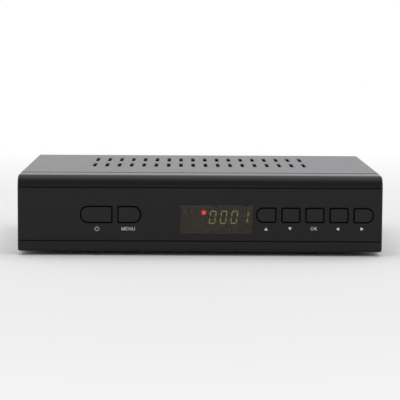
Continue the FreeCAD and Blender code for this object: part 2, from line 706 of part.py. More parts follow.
def bezel():
    outer = bezel_bar(0, BEZEL_D, BODY_W / 2)
    ends = [e for e in outer.Edges if all(abs(abs(v.X) - BODY_W / 2) < TINY for v in e.Vertexes)]
    rear = edges_at_y(outer, BEZEL_D)
    outer = outer.makeFillet(END_ROUND, [e for e in ends if not any(e.isSame(r) for r in rear)])
    guide = KEY_GAP + KEY_FLANGE + COLLAR_CLEAR
    collar_end = WALL + COLLAR_D
    shell = outer.cut(bezel_bar(WALL, BEZEL_D + PAST, BODY_W / 2 - WALL))
    added = [tongue()]
    added += [hook(x) for x in spread(HOOK_COUNT, HOOK_PITCH)]
    added += [key_block(k, guide + COLLAR_T, WALL - SUNK, collar_end) for k in KEYS]
    added += [rod_y(BOSS_R, x, WALL - SUNK, FRONT_BOARD_Y, z) for x, z in FRONT_FIXINGS]
    shell = join([shell, *added])
    tools = [key_block(k, KEY_GAP, -PAST, WALL + PAST) for k in KEYS]
    tools += [key_block(k, guide, WALL, collar_end + PAST) for k in KEYS]
    tools.append(block(WINDOW_X, WINDOW_W, -PAST, WALL, WINDOW_Z, WINDOW_H))
    y0, y1 = FRONT_BOARD_Y - TAPPER_L, FRONT_BOARD_Y + PAST
    tools += [rod_y(TAPPER_R + TAP_CLEAR, x, y0, y1, z) for x, z in FRONT_FIXINGS]
    tools += [groove(z) for z in (BODY_H - TOP_BAND, LOW_BAND)]
    shell = cut(shell, tools)
    return shell.makeFillet(LIP_ROUND, opening_lips(shell))


def window():
    pane = block(WINDOW_X, WINDOW_W - 2 * WINDOW_GAP, WINDOW_SINK, WALL, WINDOW_Z, WINDOW_H - 2 * WINDOW_GAP)
    back = WALL + WINDOW_RIM_T
    rim = block(WINDOW_X, WINDOW_W - 2 * WINDOW_GAP, WALL, back, WINDOW_Z, WINDOW_H + 2 * WINDOW_RIM)
    return join([pane, rim])


# ---- cover, tray and feet -------------------------------------------------------------------
def vent_row(count, y, z, length):
    back, up, through = V(0, 1, 0), V(0, 0, 1), 2 * (SHEET + PAST)
    return [slot(V(x, y, z), back, up, length, VENT_W, through) for x in spread(count, VENT_PITCH)]


def side_vents():
    middle = sum(VENT_ROWS) / len(VENT_ROWS)
    through = 2 * (SHEET + PAST)
    return [
        slot(V(s * COVER_X, middle + d, SIDE_VENT_Z), V(0, 0, 1), V(1, 0, 0), SIDE_VENT_L, VENT_W, through)
        for s in (-1, 1)
        for d in spread(SIDE_VENT_COUNT, VENT_PITCH)
    ]


def cover():
    """One sheet bent over the top and sides, with a lip folded down at the rear."""
    skin = portal(COVER_X, COVER_CLEAR, COVER_TOP, COVER_BEND, COVER_FRONT, BODY_D)
    inner_bend = COVER_BEND - SHEET
    hollow = portal(INNER_X, COVER_CLEAR - PAST, INNER_TOP, inner_bend, COVER_FRONT - PAST, BODY_D - SHEET)
    rear_in, rear_out = BODY_D - SHEET - PAST, BODY_D + PAST
    doorway = box(-INNER_X, INNER_X, rear_in, rear_out, COVER_CLEAR - PAST, COVER_TOP - COVER_LIP_H)
    tools = [hollow, doorway]
    for y in VENT_ROWS:
        tools += vent_row(VENT_COUNT, y, COVER_TOP, VENT_L)
    tools += side_vents()
    tools += [rod_y(SCREW_R + FREE_CLEAR, x, rear_in, rear_out, COVER_SCREW_Z) for x in REAR_SCREWS]
    tools += [countersink(V(s * COVER_X, y, SIDE_SCREW_Z), V(-s, 0, 0), FREE_CLEAR) for s, y in SIDE_SCREWS]
    return cut(skin, tools)


def panel_cutouts():
    """Holes in the rear panel, each a clearance larger than what passes through it."""
    y0, y1, grow = PANEL_IN - PAST, PANEL_Y + PAST, 2 * CUTOUT_CLEAR
    holes = [rod_y(AERIAL_SHANK_R + AERIAL_HOLE_CLEAR, x, y0, y1, AERIAL_SOCKET_Z) for x in aerial_places()]
    holes += [rod_y(PHONO_RING_R + CUTOUT_CLEAR, x, y0, y1, PHONO_SOCKET_Z) for x in phono_places()]
    holes += [rod_y(SCREW_R + FREE_CLEAR, x, y0, y1, SCART_Z) for x in scart_screw_places()]
    holes += [rod_y(SCREW_R + TAP_CLEAR, x, y0, y1, COVER_SCREW_Z) for x in REAR_SCREWS]
    holes.append(rod_y(SUPPLY_NOSE_R + CUTOUT_CLEAR, SUPPLY_X, y0, y1, SUPPLY_Z))
    holes.append(block(SCART_X, SCART_W + grow, y0, y1, SCART_Z, SCART_H + grow))
    holes.append(block(PICTURE_X, PICTURE_W + grow, y0, y1, PICTURE_Z, PICTURE_H + grow))
    holes.append(block(DATA_X, DATA_W + grow, y0, y1, DATA_Z, DATA_H + grow))
    holes.append(block(SWITCH_X, SWITCH_BODY_W + grow, y0, y1, SWITCH_Z, SWITCH_BODY_H + grow))
    return holes


def tray():
    """The floor, low side walls, a low front wall and the full-height rear panel, bent from one sheet."""
    floor = box(-TRAY_X, TRAY_X, COVER_FRONT, PANEL_Y, TRAY_Z, FLOOR_TOP)
    panel = portal(TRAY_X, TRAY_Z, TRAY_TOP, COVER_BEND, PANEL_IN, PANEL_Y)
    front = box(-TRAY_X, TRAY_X, COVER_FRONT, COVER_FRONT + SHEET, TRAY_Z, TRAY_Z + TRAY_FRONT_H)
    side_x = TRAY_X - SHEET / 2
    side_y = (COVER_FRONT + PANEL_Y) / 2
    sides = [
        slab(s * side_x, SHEET, side_y, PANEL_Y - COVER_FRONT, TRAY_Z, TRAY_Z + TRAY_SIDE_H) for s in (-1, 1)
    ]
    body = join([floor, panel, front, *sides])
    tools = panel_cutouts()
    z0, z1 = TRAY_Z - PAST, FLOOR_TOP + PAST
    tools += [rod_z(FOOT_STEM_R + FOOT_STEM_CLEAR, x, y, z0, z1) for x, y in FEET]
    tools += [rod_z(STANDOFF_FOOT_R + TAP_CLEAR, x, y, z0, z1) for x, y in MAIN_FIXINGS]
    tools += [countersink(V(s * COVER_X, y, SIDE_SCREW_Z), V(-s, 0, 0), TAP_CLEAR) for s, y in SIDE_SCREWS]
    tools += [
        block(x, HOOK_W + 2 * SLIP, COVER_FRONT - PAST, COVER_FRONT + SHEET + PAST, HOOK_Z + HOOK_T / 2,
              HOOK_T + 2 * SLIP)
        for x in spread(HOOK_COUNT, HOOK_PITCH)
    ]
    for y in VENT_ROWS:
        tools += vent_row(FLOOR_VENT_COUNT, y, TRAY_Z, FLOOR_VENT_L)
    return cut(body, tools)


def foot(x, y):
    """A push-in rubber foot: pad, stem through the tray and a barb above it."""
    pad = rod_z(FOOT_R, x, y, -FOOT_DROP, TRAY_Z)
    pad = pad.makeFillet(FOOT_EDGE, edges_at_z(pad, -FOOT_DROP))
    barb_z = FLOOR_TOP + SLIP / 2
    stem = rod_z(FOOT_STEM_R, x, y, TRAY_Z - SUNK, barb_z)
    barb = Part.makeCone(FOOT_BARB_R, FOOT_BARB_TIP_R, FOOT_BARB_H, V(x, y, barb_z), V(0, 0, 1))
    return join([pad, stem, barb])


def cover_screws():
    rear = [pan_screw(V(x, BODY_D, COVER_SCREW_Z), V(0, -1, 0)) for x in REAR_SCREWS]
    sides = [flat_screw(V(s * COVER_X, y, SIDE_SCREW_Z), V(-s, 0, 0)) for s, y in SIDE_SCREWS]
    return rear + sides


# ---- keys, display and the front board ------------------------------------------------------
def key_cap(key):
    seat = WALL + KEY_SEAT
    cap = key_block(key, 0, -KEY_PROUD, seat + SUNK)
    cap = cap.makeFillet(KEY_EDGE, edges_at_y(cap, -KEY_PROUD))
    flange = key_block(key, KEY_GAP + KEY_FLANGE, seat, seat + KEY_FLANGE_T)
    stem = rod_y(STEM_R, key.x, seat, TACT_TIP, KEY_Z)
    return join([cap, flange, stem])


def plunger(key):
    return rod_y(PLUNGER_R, key.x, TACT_TIP, TACT_FACE + PLUNGER_DEEP, KEY_Z)


def tact_switch(key):
    body = block(key.x, TACT_SIZE, TACT_FACE, FRONT_BOARD_Y, KEY_Z, TACT_SIZE)
    deep = TACT_FACE + PLUNGER_DEEP + KEY_TRAVEL + PLUNGER_CLEAR
    body = body.cut(rod_y(PLUNGER_R + PLUNGER_CLEAR, key.x, TACT_FACE - PAST, deep, KEY_Z))
    span = TACT_SIZE + 2 * TACT_LEG
    legs = [
        block(key.x, span, FRONT_BOARD_Y - TACT_LEG_T, FRONT_BOARD_Y, KEY_Z + z, TACT_LEG)
        for z in spread(2, TACT_SIZE - 2 * TACT_LEG)
    ]
    return join([body, *legs])


def front_board():
    front, back = FRONT_BOARD_Y, FRONT_BOARD_BACK
    board = box(FRONT_BOARD_X0, FRONT_BOARD_X1, front, back, FRONT_BOARD_Z0, FRONT_BOARD_Z1)
    y0, y1 = front - PAST, back + PAST
    return cut(board, [rod_y(TAPPER_R + FREE_CLEAR, x, y0, y1, z) for x, z in FRONT_FIXINGS])


def front_board_screws():
    return [
        pan_screw(V(x, FRONT_BOARD_BACK, z), V(0, -1, 0), TAPPER_R, TAPPER_L, TAPPER_HEAD_R, TAPPER_HEAD_H)
        for x, z in FRONT_FIXINGS
    ]


def display_module():
    return block(WINDOW_X + DIGIT_SHIFT, MODULE_W, MODULE_FACE, FRONT_BOARD_Y, DIGIT_Z, MODULE_H)


def segment(x, name):
    """One bar of a seven-segment digit centred on x, slanted to the right."""
    lean = math.tan(math.radians(DIGIT_SLANT))
    w, h, t, g = DIGIT_W / 2, DIGIT_H / 2, DIGIT_STROKE, DIGIT_GAP
    bars = {
        "top": (-w + g, w - g, h - t, h),
        "bottom": (-w + g, w - g, -h, -h + t),
        "upper_left": (-w, -w + t, t / 2 + g, h - t - g),
        "upper_right": (w - t, w, t / 2 + g, h - t - g),
        "lower_left": (-w, -w + t, -h + t + g, -t / 2 - g),
        "lower_right": (w - t, w, -h + t + g, -t / 2 - g),
    }
    x0, x1, z0, z1 = bars[name]
    corners = ((x0, z0), (x1, z0), (x1, z1), (x0, z1))
    points = [V(x + cx + lean * cz, MODULE_FACE - DIGIT_T, DIGIT_Z + cz) for cx, cz in corners]
    return prism(points, V(0, DIGIT_T, 0))


def display_digits():
    """The channel number 0001."""
    zero = ("top", "bottom", "upper_left", "upper_right", "lower_left", "lower_right")
    one = ("upper_right", "lower_right")
    *zeros, last = [WINDOW_X + DIGIT_SHIFT + d for d in spread(DIGIT_COUNT, DIGIT_PITCH)]
    return [segment(x, name) for x in zeros for name in zero] + [segment(last, name) for name in one]


def status_lamp():
    """A round lamp with a domed tip and a rim at its foot."""
    x, back = WINDOW_X + LAMP_SHIFT, FRONT_BOARD_Y
    dome_y = back - LAMP_L + LAMP_R
    barrel = rod_y(LAMP_R, x, dome_y, back, LAMP_Z)
    dome = Part.makeSphere(LAMP_R, V(x, dome_y, LAMP_Z))
    rim = rod_y(LAMP_RIM_R, x, back - LAMP_RIM_T, back, LAMP_Z)
    return join([barrel, dome, rim])


def remote_eye():
    """A receiver block with a round lens, on three bent leads."""
    x, back = WINDOW_X + EYE_SHIFT, FRONT_BOARD_Y - EYE_OFF
    face, low = back - EYE_D, EYE_Z - EYE_H / 2
    body = block(x, EYE_W, face, back, EYE_Z, EYE_H)
    lens = Part.makeSphere(EYE_LENS_R, V(x, face, EYE_Z))
    lens = lens.common(block(x, EYE_W, face - EYE_LENS_R, face + SUNK, EYE_Z, EYE_H))
    lead_y = (face + back) / 2
    leads = []
    for d in spread(3, EYE_LEAD_PITCH):
        leads.append(slab(x + d, EYE_LEAD, lead_y, EYE_LEAD, low - EYE_LEAD_L, low + SUNK))
        leads.append(block(x + d, EYE_LEAD, lead_y - EYE_LEAD / 2, FRONT_BOARD_Y, low - EYE_LEAD_L, EYE_LEAD))
    return join([body, lens, *leads])


# ---- main board -----------------------------------------------------------------------------
def main_board():
    board = box(BOARD_X0, BOARD_X1, MAIN_BOARD_FRONT, BOARD_BACK, BOARD_Z, BOARD_TOP)
    z0, z1 = BOARD_Z - PAST, BOARD_TOP + PAST
    return cut(board, [rod_z(SCREW_R + FREE_CLEAR, x, y, z0, z1) for x, y in MAIN_FIXINGS])


def standoff(x, y):
    """A threaded post, pressed into the tray by its foot."""
    post = rod_z(STANDOFF_R, x, y, FLOOR_TOP, BOARD_Z)
    pressed_foot = rod_z(STANDOFF_FOOT_R, x, y, TRAY_Z, FLOOR_TOP + SUNK)
    return join([post, pressed_foot]).cut(rod_z(SCREW_R + TAP_CLEAR, x, y, FLOOR_TOP, BOARD_Z + PAST))


def board_screws():
    return [pan_screw(V(x, y, BOARD_TOP), V(0, 0, -1)) for x, y in MAIN_FIXINGS]


def chips():
    """The processor, then two memories and a flash chip."""
    y = MAIN_BOARD_FRONT + CHIP_Y
    made = [slab(CHIP_X, CHIP_W, y, CHIP_W, BOARD_TOP, BOARD_TOP + CHIP_T)]
    for dx, dy in ((-MEMORY_AWAY, -MEMORY_STEP), (-MEMORY_AWAY, MEMORY_STEP), (MEMORY_AWAY, -MEMORY_STEP)):
        made.append(slab(CHIP_X + dx, MEMORY_W, y + dy, MEMORY_L, BOARD_TOP, BOARD_TOP + MEMORY_T))
    return made


def heat_sink():
    y, z = MAIN_BOARD_FRONT + CHIP_Y, BOARD_TOP + CHIP_T
    base = slab(CHIP_X, SINK_W, y, SINK_W, z, z + SINK_BASE)
    pitch = (SINK_W - SINK_FIN) / (SINK_FINS - 1)
    fins = [slab(CHIP_X + d, SINK_FIN, y, SINK_W, z + SUNK, z + SINK_H) for d in spread(SINK_FINS, pitch)]
    return join([base, *fins])


def capacitor(x, y):
    can = rod_z(CAPACITOR_R, x, y, BOARD_TOP, BOARD_TOP + CAPACITOR_H)
    return can.makeFillet(CAPACITOR_ROUND, edges_at_z(can, BOARD_TOP + CAPACITOR_H))


def capacitors():
    """Four near the supply socket, one beside the tuner and one at the phono block."""
    x, y, step = SUPPLY_X + CAPACITOR_ACROSS, PANEL_IN - CAPACITOR_FORWARD, CAPACITOR_PITCH
    places = [(x, y), (x + step, y), (x + 2 * step, y), (x, y - CAPACITOR_ROW)]
    places.append((TUNER_X - TUNER_W / 2 - TUNER_SIDE, PANEL_IN - TUNER_CAPACITOR))
    places.append((rear_place("phono"), PANEL_IN - AUDIO_CAPACITOR))
    return [capacitor(*place) for place in places]


def coils():
    """Two near the supply socket and one beside the tuner."""
    x, y = SUPPLY_X + COIL_ACROSS, PANEL_IN - COIL_FORWARD
    places = [(x, y), (x + COIL_PITCH, y)]
    places.append((TUNER_X - TUNER_W / 2 - TUNER_SIDE, PANEL_IN - TUNER_COIL))
    return [slab(x, COIL_W, y, COIL_W, BOARD_TOP, BOARD_TOP + COIL_H) for x, y in places]


def crystal():
    y = MAIN_BOARD_FRONT + CHIP_Y + SINK_W / 2 + CRYSTAL_AWAY
    can = slab(CHIP_X, CRYSTAL_L, y, CRYSTAL_W, BOARD_TOP, BOARD_TOP + CRYSTAL_H)
    upright = [e for e in can.Edges if abs(e.Vertexes[0].Z - e.Vertexes[1].Z) > TINY]
    return can.makeFillet(CRYSTAL_ROUND, upright)


def headers():
    """Sockets for the ribbon cable: one on the back of the front board, one on the main board."""
    x, y0, y1 = MENU_KEY_X, FRONT_BOARD_BACK, FRONT_BOARD_BACK + HEADER_L
    on_front = block(x, HEADER_W, y0, y1, FRONT_HEADER_Z, HEADER_T)
    y = MAIN_BOARD_FRONT + MAIN_HEADER_Y
    return [on_front, slab(x, HEADER_W, y, HEADER_T, BOARD_TOP, BOARD_TOP + HEADER_L)]


def ribbon():
    """A flat cable in an arch from the front header back and down to the main header."""
    start = V(MENU_KEY_X, FRONT_BOARD_BACK + HEADER_L, FRONT_HEADER_Z)
    end = V(MENU_KEY_X, MAIN_BOARD_FRONT + MAIN_HEADER_Y, BOARD_TOP + HEADER_L)
    points = [start] + [start + V(0, y, z) for y, z in RIBBON_OUT]
    points += [end + V(0, y, z) for y, z in RIBBON_IN] + [end]
    w, t = RIBBON_W / 2, RIBBON_T / 2
    corners = [start + V(x, 0, z) for x, z in ((-w, -t), (w, -t), (w, t), (-w, t), (-w, -t))]
    return route(points, "ribbon cable").makePipeShell([Part.makePolygon(corners)], True, False)


# ---- rear sockets ---------------------------------------------------------------------------
def aerial_places():
    return [TUNER_X + d for d in spread(2, AERIAL_PITCH)]


def tuner():
    """A screened can, open towards the board, with a sunk lid and a pattern of dimples."""
    y0, y1 = BOARD_BACK - TUNER_D, SOCKET_Y
    y, d, top = (y0 + y1) / 2, y1 - y0, BOARD_TOP + TUNER_H
    can = slab(TUNER_X, TUNER_W, y, d, BOARD_TOP, top)
    lid = slab(TUNER_X, TUNER_W - 2 * TUNER_RIB, y, d - 2 * TUNER_RIB, top - TUNER_RIB / 2, top + PAST)
    dimple_z = top - TUNER_RIB / 2 - TUNER_DIMPLE_DEPTH
    dimples = [
        rod_z(TUNER_DIMPLE_R, TUNER_X + dx, y + dy, dimple_z, top + PAST)
        for dx in spread(3, TUNER_DIMPLE_PITCH)
        for dy in spread(2, TUNER_DIMPLE_PITCH)
    ]
    wall = 2 * TUNER_WALL
    inside = slab(TUNER_X, TUNER_W - wall, y, d - wall, BOARD_TOP - PAST, dimple_z - TUNER_WALL)
    return cut(can, [lid, inside, *dimples])


def aerial_socket(x):
    """A plain shank through the panel and its nut, then the thread, with a hole for the centre pin."""
    z, neck = AERIAL_SOCKET_Z, PANEL_Y + AERIAL_NUT_T + SLIP
    shank = rod_y(AERIAL_SHANK_R, x, SOCKET_Y, neck, z)
    thread = rod_y(AERIAL_THREAD_R, x, neck, REACH_Y, z)
    mouth = rod_y(AERIAL_MOUTH_R, x, REACH_Y - AERIAL_MOUTH_D, REACH_Y + PAST, z)
    pin_hole = rod_y(AERIAL_PIN_R, x, REACH_Y - AERIAL_PIN_D, REACH_Y + PAST, z)
    return cut(join([shank, thread]), [mouth, pin_hole])


def aerial_nut(x):
    z, r = AERIAL_SOCKET_Z, AERIAL_NUT_WIDTH / math.sqrt(3)
    angles = [math.radians(60 * i) for i in range(6)]
    nut = prism([V(x + r * math.cos(a), PANEL_Y, z + r * math.sin(a)) for a in angles], V(0, AERIAL_NUT_T, 0))
    hole = rod_y(AERIAL_SHANK_R + AERIAL_NUT_CLEAR, x, PANEL_Y - PAST, PANEL_Y + AERIAL_NUT_T + PAST, z)
    return nut.cut(hole)


def phono_places():
    """From the tuner outwards: white, red, orange."""
    return [rear_place("phono") + d for d in reversed(spread(PHONO_COUNT, PHONO_PITCH))]


def phono_block():
    y, top = SOCKET_Y - PHONO_BLOCK_D / 2, BOARD_TOP + PHONO_BLOCK_H
    return slab(rear_place("phono"), PHONO_BLOCK_W, y, PHONO_BLOCK_D, BOARD_TOP, top)


def phono_barrel(x):
    """A metal barrel that is a little wider inside its coloured ring."""
    collar, end, z = PANEL_Y + PHONO_RING_PROUD, PANEL_Y + PHONO_REACH, PHONO_SOCKET_Z
    body = join([rod_y(PHONO_BASE_R, x, SOCKET_Y, collar, z), rod_y(PHONO_BARREL_R, x, collar, end, z)])
    return body.cut(rod_y(PHONO_BARREL_R - PHONO_BARREL_T, x, SOCKET_Y - PAST, end + PAST, z))


def phono_insert(x):
    """The coloured ring round the barrel, and the core inside it with the hole for the centre pin."""
    end, z = PANEL_Y + PHONO_REACH - PHONO_CORE_SINK, PHONO_SOCKET_Z
    ring = tube_y(PHONO_RING_R, PHONO_BASE_R + TAP_CLEAR, x, SOCKET_Y, PANEL_Y + PHONO_RING_PROUD, z)
    core = rod_y(PHONO_CORE_R, x, SOCKET_Y, end, z)
    return [ring, core.cut(rod_y(PHONO_PIN_R, x, PANEL_Y, end + PAST, z))]


def scart_outline(grow, y0, y1):
    """The socket's outline with its cut corner, grown on every side and drawn out along y."""
    w, h = SCART_W / 2 + grow, SCART_H / 2 + grow
    slant = SCART_SLANT + grow * (2 - math.sqrt(2))
    corners = ((-w, -h), (w, -h), (w, h - slant), (w - slant, h), (-w, h))
    return prism([V(SCART_X + x, y0, SCART_Z + z) for x, z in corners], V(0, y1 - y0, 0))


def scart_slots():
    """Middles of the contact slots: two staggered rows."""
    stagger = SCART_SLOT_PITCH / 4
    return [
        (SCART_X + side * stagger + d, SCART_Z + side * SCART_ROW)
        for side in (1, -1)
        for d in spread(SCART_SLOTS, SCART_SLOT_PITCH)
    ]


def scart_screw_places():
    return [SCART_X + d for d in spread(2, SCART_W + SCART_EAR)]


def scart_socket():
    face = PANEL_Y + SCART_PROUD
    body = block(SCART_X, SCART_W, face - SCART_D, face, SCART_Z, SCART_H)
    ears = block(SCART_X, SCART_W + 2 * SCART_EAR, PANEL_IN - SCART_EAR_T, PANEL_IN, SCART_Z, SCART_EAR_H)
    channel = scart_outline(-SCART_SKIRT, face - SCART_CHANNEL_D, face + PAST)
    core = scart_outline(-SCART_SKIRT - SCART_CHANNEL, face - SCART_CHANNEL_D, face - SLIP)
    y0, y1 = face - SCART_SLOT_D, face + PAST
    slots = [block(x, SCART_SLOT_W, y0, y1, z, SCART_SLOT_H) for x, z in scart_slots()]
    y0, y1 = PANEL_IN - SCART_EAR_T - PAST, PANEL_IN + PAST
    holes = [rod_y(SCREW_R + TAP_CLEAR, x, y0, y1, SCART_Z) for x in scart_screw_places()]
    return cut(join([body, ears]), [channel.cut(core), *slots, *holes])


def scart_contacts():
    """Blades that lie against one side of their slots."""
    face = PANEL_Y + SCART_PROUD
    shift = (CONTACT_T - SCART_SLOT_W) / 2
    y0, y1 = face - SCART_SLOT_D, face - CONTACT_SINK
    return [block(x + shift, CONTACT_T, y0, y1, z, CONTACT_H) for x, z in scart_slots()]


def scart_screws():
    return [pan_screw(V(x, PANEL_Y, SCART_Z), V(0, -1, 0)) for x in scart_screw_places()]


def picture_outline(grow, y0, y1):
    """The picture socket's outline: its two lower corners are cut."""
    w, h = PICTURE_W / 2 + grow, PICTURE_H / 2 + grow
    slant = PICTURE_SLANT + grow * (2 - math.sqrt(2))
    corners = ((-w + slant, -h), (w - slant, -h), (w, -h + slant), (w, h), (-w, h), (-w, -h + slant))
    return prism([V(PICTURE_X + x, y0, PICTURE_Z + z) for x, z in corners], V(0, y1 - y0, 0))


def picture_shell():
    face = PANEL_Y + SHELL_PROUD
    shell = picture_outline(0, face - PICTURE_D, face)
    return shell.cut(picture_outline(-SHELL_T, face - PICTURE_D - PAST, face + PAST))


def picture_insert():
    face, rear = PANEL_Y + SHELL_PROUD, PANEL_Y + SHELL_PROUD - PICTURE_D
    back = picture_outline(-SHELL_T, rear, rear + SOCKET_BACK)
    tongue_y = rear + SOCKET_BACK - SUNK
    blade = block(PICTURE_X, PICTURE_TONGUE_W, tongue_y, face - TONGUE_SINK, PICTURE_Z, PICTURE_TONGUE_T)
    return join([back, blade])


def data_shell():
    face, t = PANEL_Y + SHELL_PROUD, 2 * SHELL_T
    shell = block(DATA_X, DATA_W, face - DATA_D, face, DATA_Z, DATA_H)
    return shell.cut(block(DATA_X, DATA_W - t, face - DATA_D - PAST, face + PAST, DATA_Z, DATA_H - t))


def data_insert():
    face, rear, t = PANEL_Y + SHELL_PROUD, PANEL_Y + SHELL_PROUD - DATA_D, 2 * SHELL_T
    back = block(DATA_X, DATA_W - t, rear, rear + SOCKET_BACK, DATA_Z, DATA_H - t)
    tongue_y, tongue_z = rear + SOCKET_BACK - SUNK, DATA_Z + DATA_TONGUE_RAISE
    blade = block(DATA_X, DATA_TONGUE_W, tongue_y, face - TONGUE_SINK, tongue_z, DATA_TONGUE_T)
    return join([back, blade])


def supply_socket():
    face = PANEL_Y + SUPPLY_PROUD
    body = block(SUPPLY_X, SUPPLY_W, SOCKET_Y - SUPPLY_D, SOCKET_Y, SUPPLY_Z, SUPPLY_H)
    nose = rod_y(SUPPLY_NOSE_R, SUPPLY_X, SOCKET_Y - SUNK, face, SUPPLY_Z)
    return join([body, nose]).cut(rod_y(SUPPLY_BORE_R, SUPPLY_X, face - SUPPLY_BORE_D, face + PAST, SUPPLY_Z))


def supply_pin():
    face = PANEL_Y + SUPPLY_PROUD
    return rod_y(SUPPLY_PIN_R, SUPPLY_X, face - SUPPLY_BORE_D, face - SUPPLY_PIN_SINK, SUPPLY_Z)


# ---- mains switch ---------------------------------------------------------------------------
def switch_frame():
    """A rim outside the panel, a body behind it with a well for the rocker, and two tags."""
    face, back = PANEL_Y + SWITCH_RIM_T, PANEL_Y - SWITCH_BODY_D
    rim = block(SWITCH_X, SWITCH_RIM_W, PANEL_Y, face, SWITCH_Z, SWITCH_RIM_H)
    rim = rim.makeFillet(SWITCH_RIM_ROUND, edges_at_y(rim, face))
    body = block(SWITCH_X, SWITCH_BODY_W, back, PANEL_Y + SUNK, SWITCH_Z, SWITCH_BODY_H)
    tags = [
        block(SWITCH_X, SWITCH_TAG_W, back - SWITCH_TAG_L, back + SUNK, SWITCH_Z + z, SWITCH_TAG_T)
        for z in spread(2, 2 * SWITCH_TAG_Z)
    ]
    well_w, well_h = ROCKER_W + 2 * ROCKER_CLEAR, 2 * (ROCKER_R + ROCKER_CLEAR)
    well = block(SWITCH_X, well_w, PIVOT_Y - ROCKER_R - ROCKER_CLEAR, face + PAST, SWITCH_Z, well_h)
    half = ROCKER_W / 2 + TRUNNION_L + TRUNNION_CLEAR
    bearing = rod_x(TRUNNION_R + TRUNNION_CLEAR, SWITCH_X - half, SWITCH_X + half, PIVOT_Y, SWITCH_Z)
    return cut(join([rim, body, *tags]), [well, bearing])


def rocker():
    """A round-backed rocker with a dished face on two trunnions, pressed in at its top."""
    x0 = SWITCH_X - ROCKER_W / 2
    drum = rod_x(ROCKER_R, x0, x0 + ROCKER_W, PIVOT_Y, SWITCH_Z)
    tip = math.sqrt(ROCKER_R**2 - ROCKER_FACE**2)
    front, back = PIVOT_Y + ROCKER_FACE, PIVOT_Y - ROCKER_BACK
    outline = [
        V(x0, back, SWITCH_Z - ROCKER_R),
        V(x0, back, SWITCH_Z + ROCKER_R),
        V(x0, front, SWITCH_Z + ROCKER_R),
        V(x0, front, SWITCH_Z + tip),
        V(x0, front - ROCKER_DISH, SWITCH_Z),
        V(x0, front, SWITCH_Z - tip),
        V(x0, front, SWITCH_Z - ROCKER_R),
    ]
    half = ROCKER_W / 2 + TRUNNION_L
    trunnions = rod_x(TRUNNION_R, SWITCH_X - half, SWITCH_X + half, PIVOT_Y, SWITCH_Z)
    solid = join([drum.common(prism(outline, V(ROCKER_W, 0, 0))), trunnions])
    solid.rotate(V(SWITCH_X, PIVOT_Y, SWITCH_Z), V(1, 0, 0), ROCKER_TILT)
    return solid


def switch_leads():
    """Two insulated leads from the switch's tags down to the main board."""
    tag_end = PANEL_Y - SWITCH_BODY_D - SWITCH_TAG_L
    land_x = BOARD_X0 + LEAD_EDGE
    made = []
    for z, (straight, forward, rise) in zip((SWITCH_TAG_Z, -SWITCH_TAG_Z), LEAD_RUNS):
        start = V(SWITCH_X, tag_end, SWITCH_Z + z)
        over = V(land_x, tag_end - forward, SWITCH_Z + z + rise)
        end = V(land_x, tag_end - forward, BOARD_TOP)
        wire = route([start, start - V(0, straight, 0), over, end], "switch lead")
        section = Part.Wire(Part.makeCircle(LEAD_R, start, V(0, 1, 0)))
        made.append(wire.makePipeShell([section], True, False))
    return made


# ---- output ---------------------------------------------------------------------------------
def main():
    os.makedirs("parts", exist_ok=True)
    save("chassis_tray", [tray()])
    save("top_cover", [cover()])
    save("cover_screws", cover_screws())
    for name, (x, y) in zip(("front_left", "rear_left", "front_right", "rear_right"), FEET):
        save(f"foot_{name}", [foot(x, y)])

    save("front_bezel", [bezel()])
    save("display_window", [window()])
    for key in KEYS:
        save(f"{key.name}_button", [key_cap(key)])
        save(f"{key.name}_switch_plunger", [plunger(key)])
    save("tact_switches", [tact_switch(key) for key in KEYS])
    save("front_board", [front_board()])
    save("front_board_screws", front_board_screws())
    save("display_module", [display_module()])
    save("display_digits", display_digits())
    save("status_lamp", [status_lamp()])
    save("remote_eye", [remote_eye()])

    save("main_board", [main_board()])
    save("board_standoffs", [standoff(x, y) for x, y in MAIN_FIXINGS])
    save("board_screws", board_screws())
    save("board_chips", chips())
    save("heat_sink", [heat_sink()])
    save("capacitors", capacitors())
    save("coils", coils())
    save("crystal", [crystal()])
    save("ribbon_headers", headers())
    save("ribbon_cable", [ribbon()])

    save("tuner_can", [tuner()])
    save("aerial_sockets", [aerial_socket(x) for x in aerial_places()])
    save("socket_nuts", [aerial_nut(x) for x in aerial_places()])
    save("phono_block", [phono_block()])
    save("phono_barrels", [phono_barrel(x) for x in phono_places()])
    for colour, x in zip(("white", "red", "orange"), phono_places()):
        save(f"phono_{colour}_insert", phono_insert(x))
    save("scart_socket", [scart_socket()])
    save("scart_contacts", scart_contacts())
    save("scart_screws", scart_screws())
    save("picture_socket_shell", [picture_shell()])
    save("picture_socket_insert", [picture_insert()])
    save("data_socket_shell", [data_shell()])
    save("data_socket_insert", [data_insert()])
    save("supply_socket", [supply_socket()])
    save("supply_pin", [supply_pin()])
    save("switch_frame", [switch_frame()])
    save("switch_rocker", [rocker()])
    save("switch_leads", switch_leads())


main()
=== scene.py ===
import json
import math

import bmesh
import bpy
from mathutils import Matrix, Vector


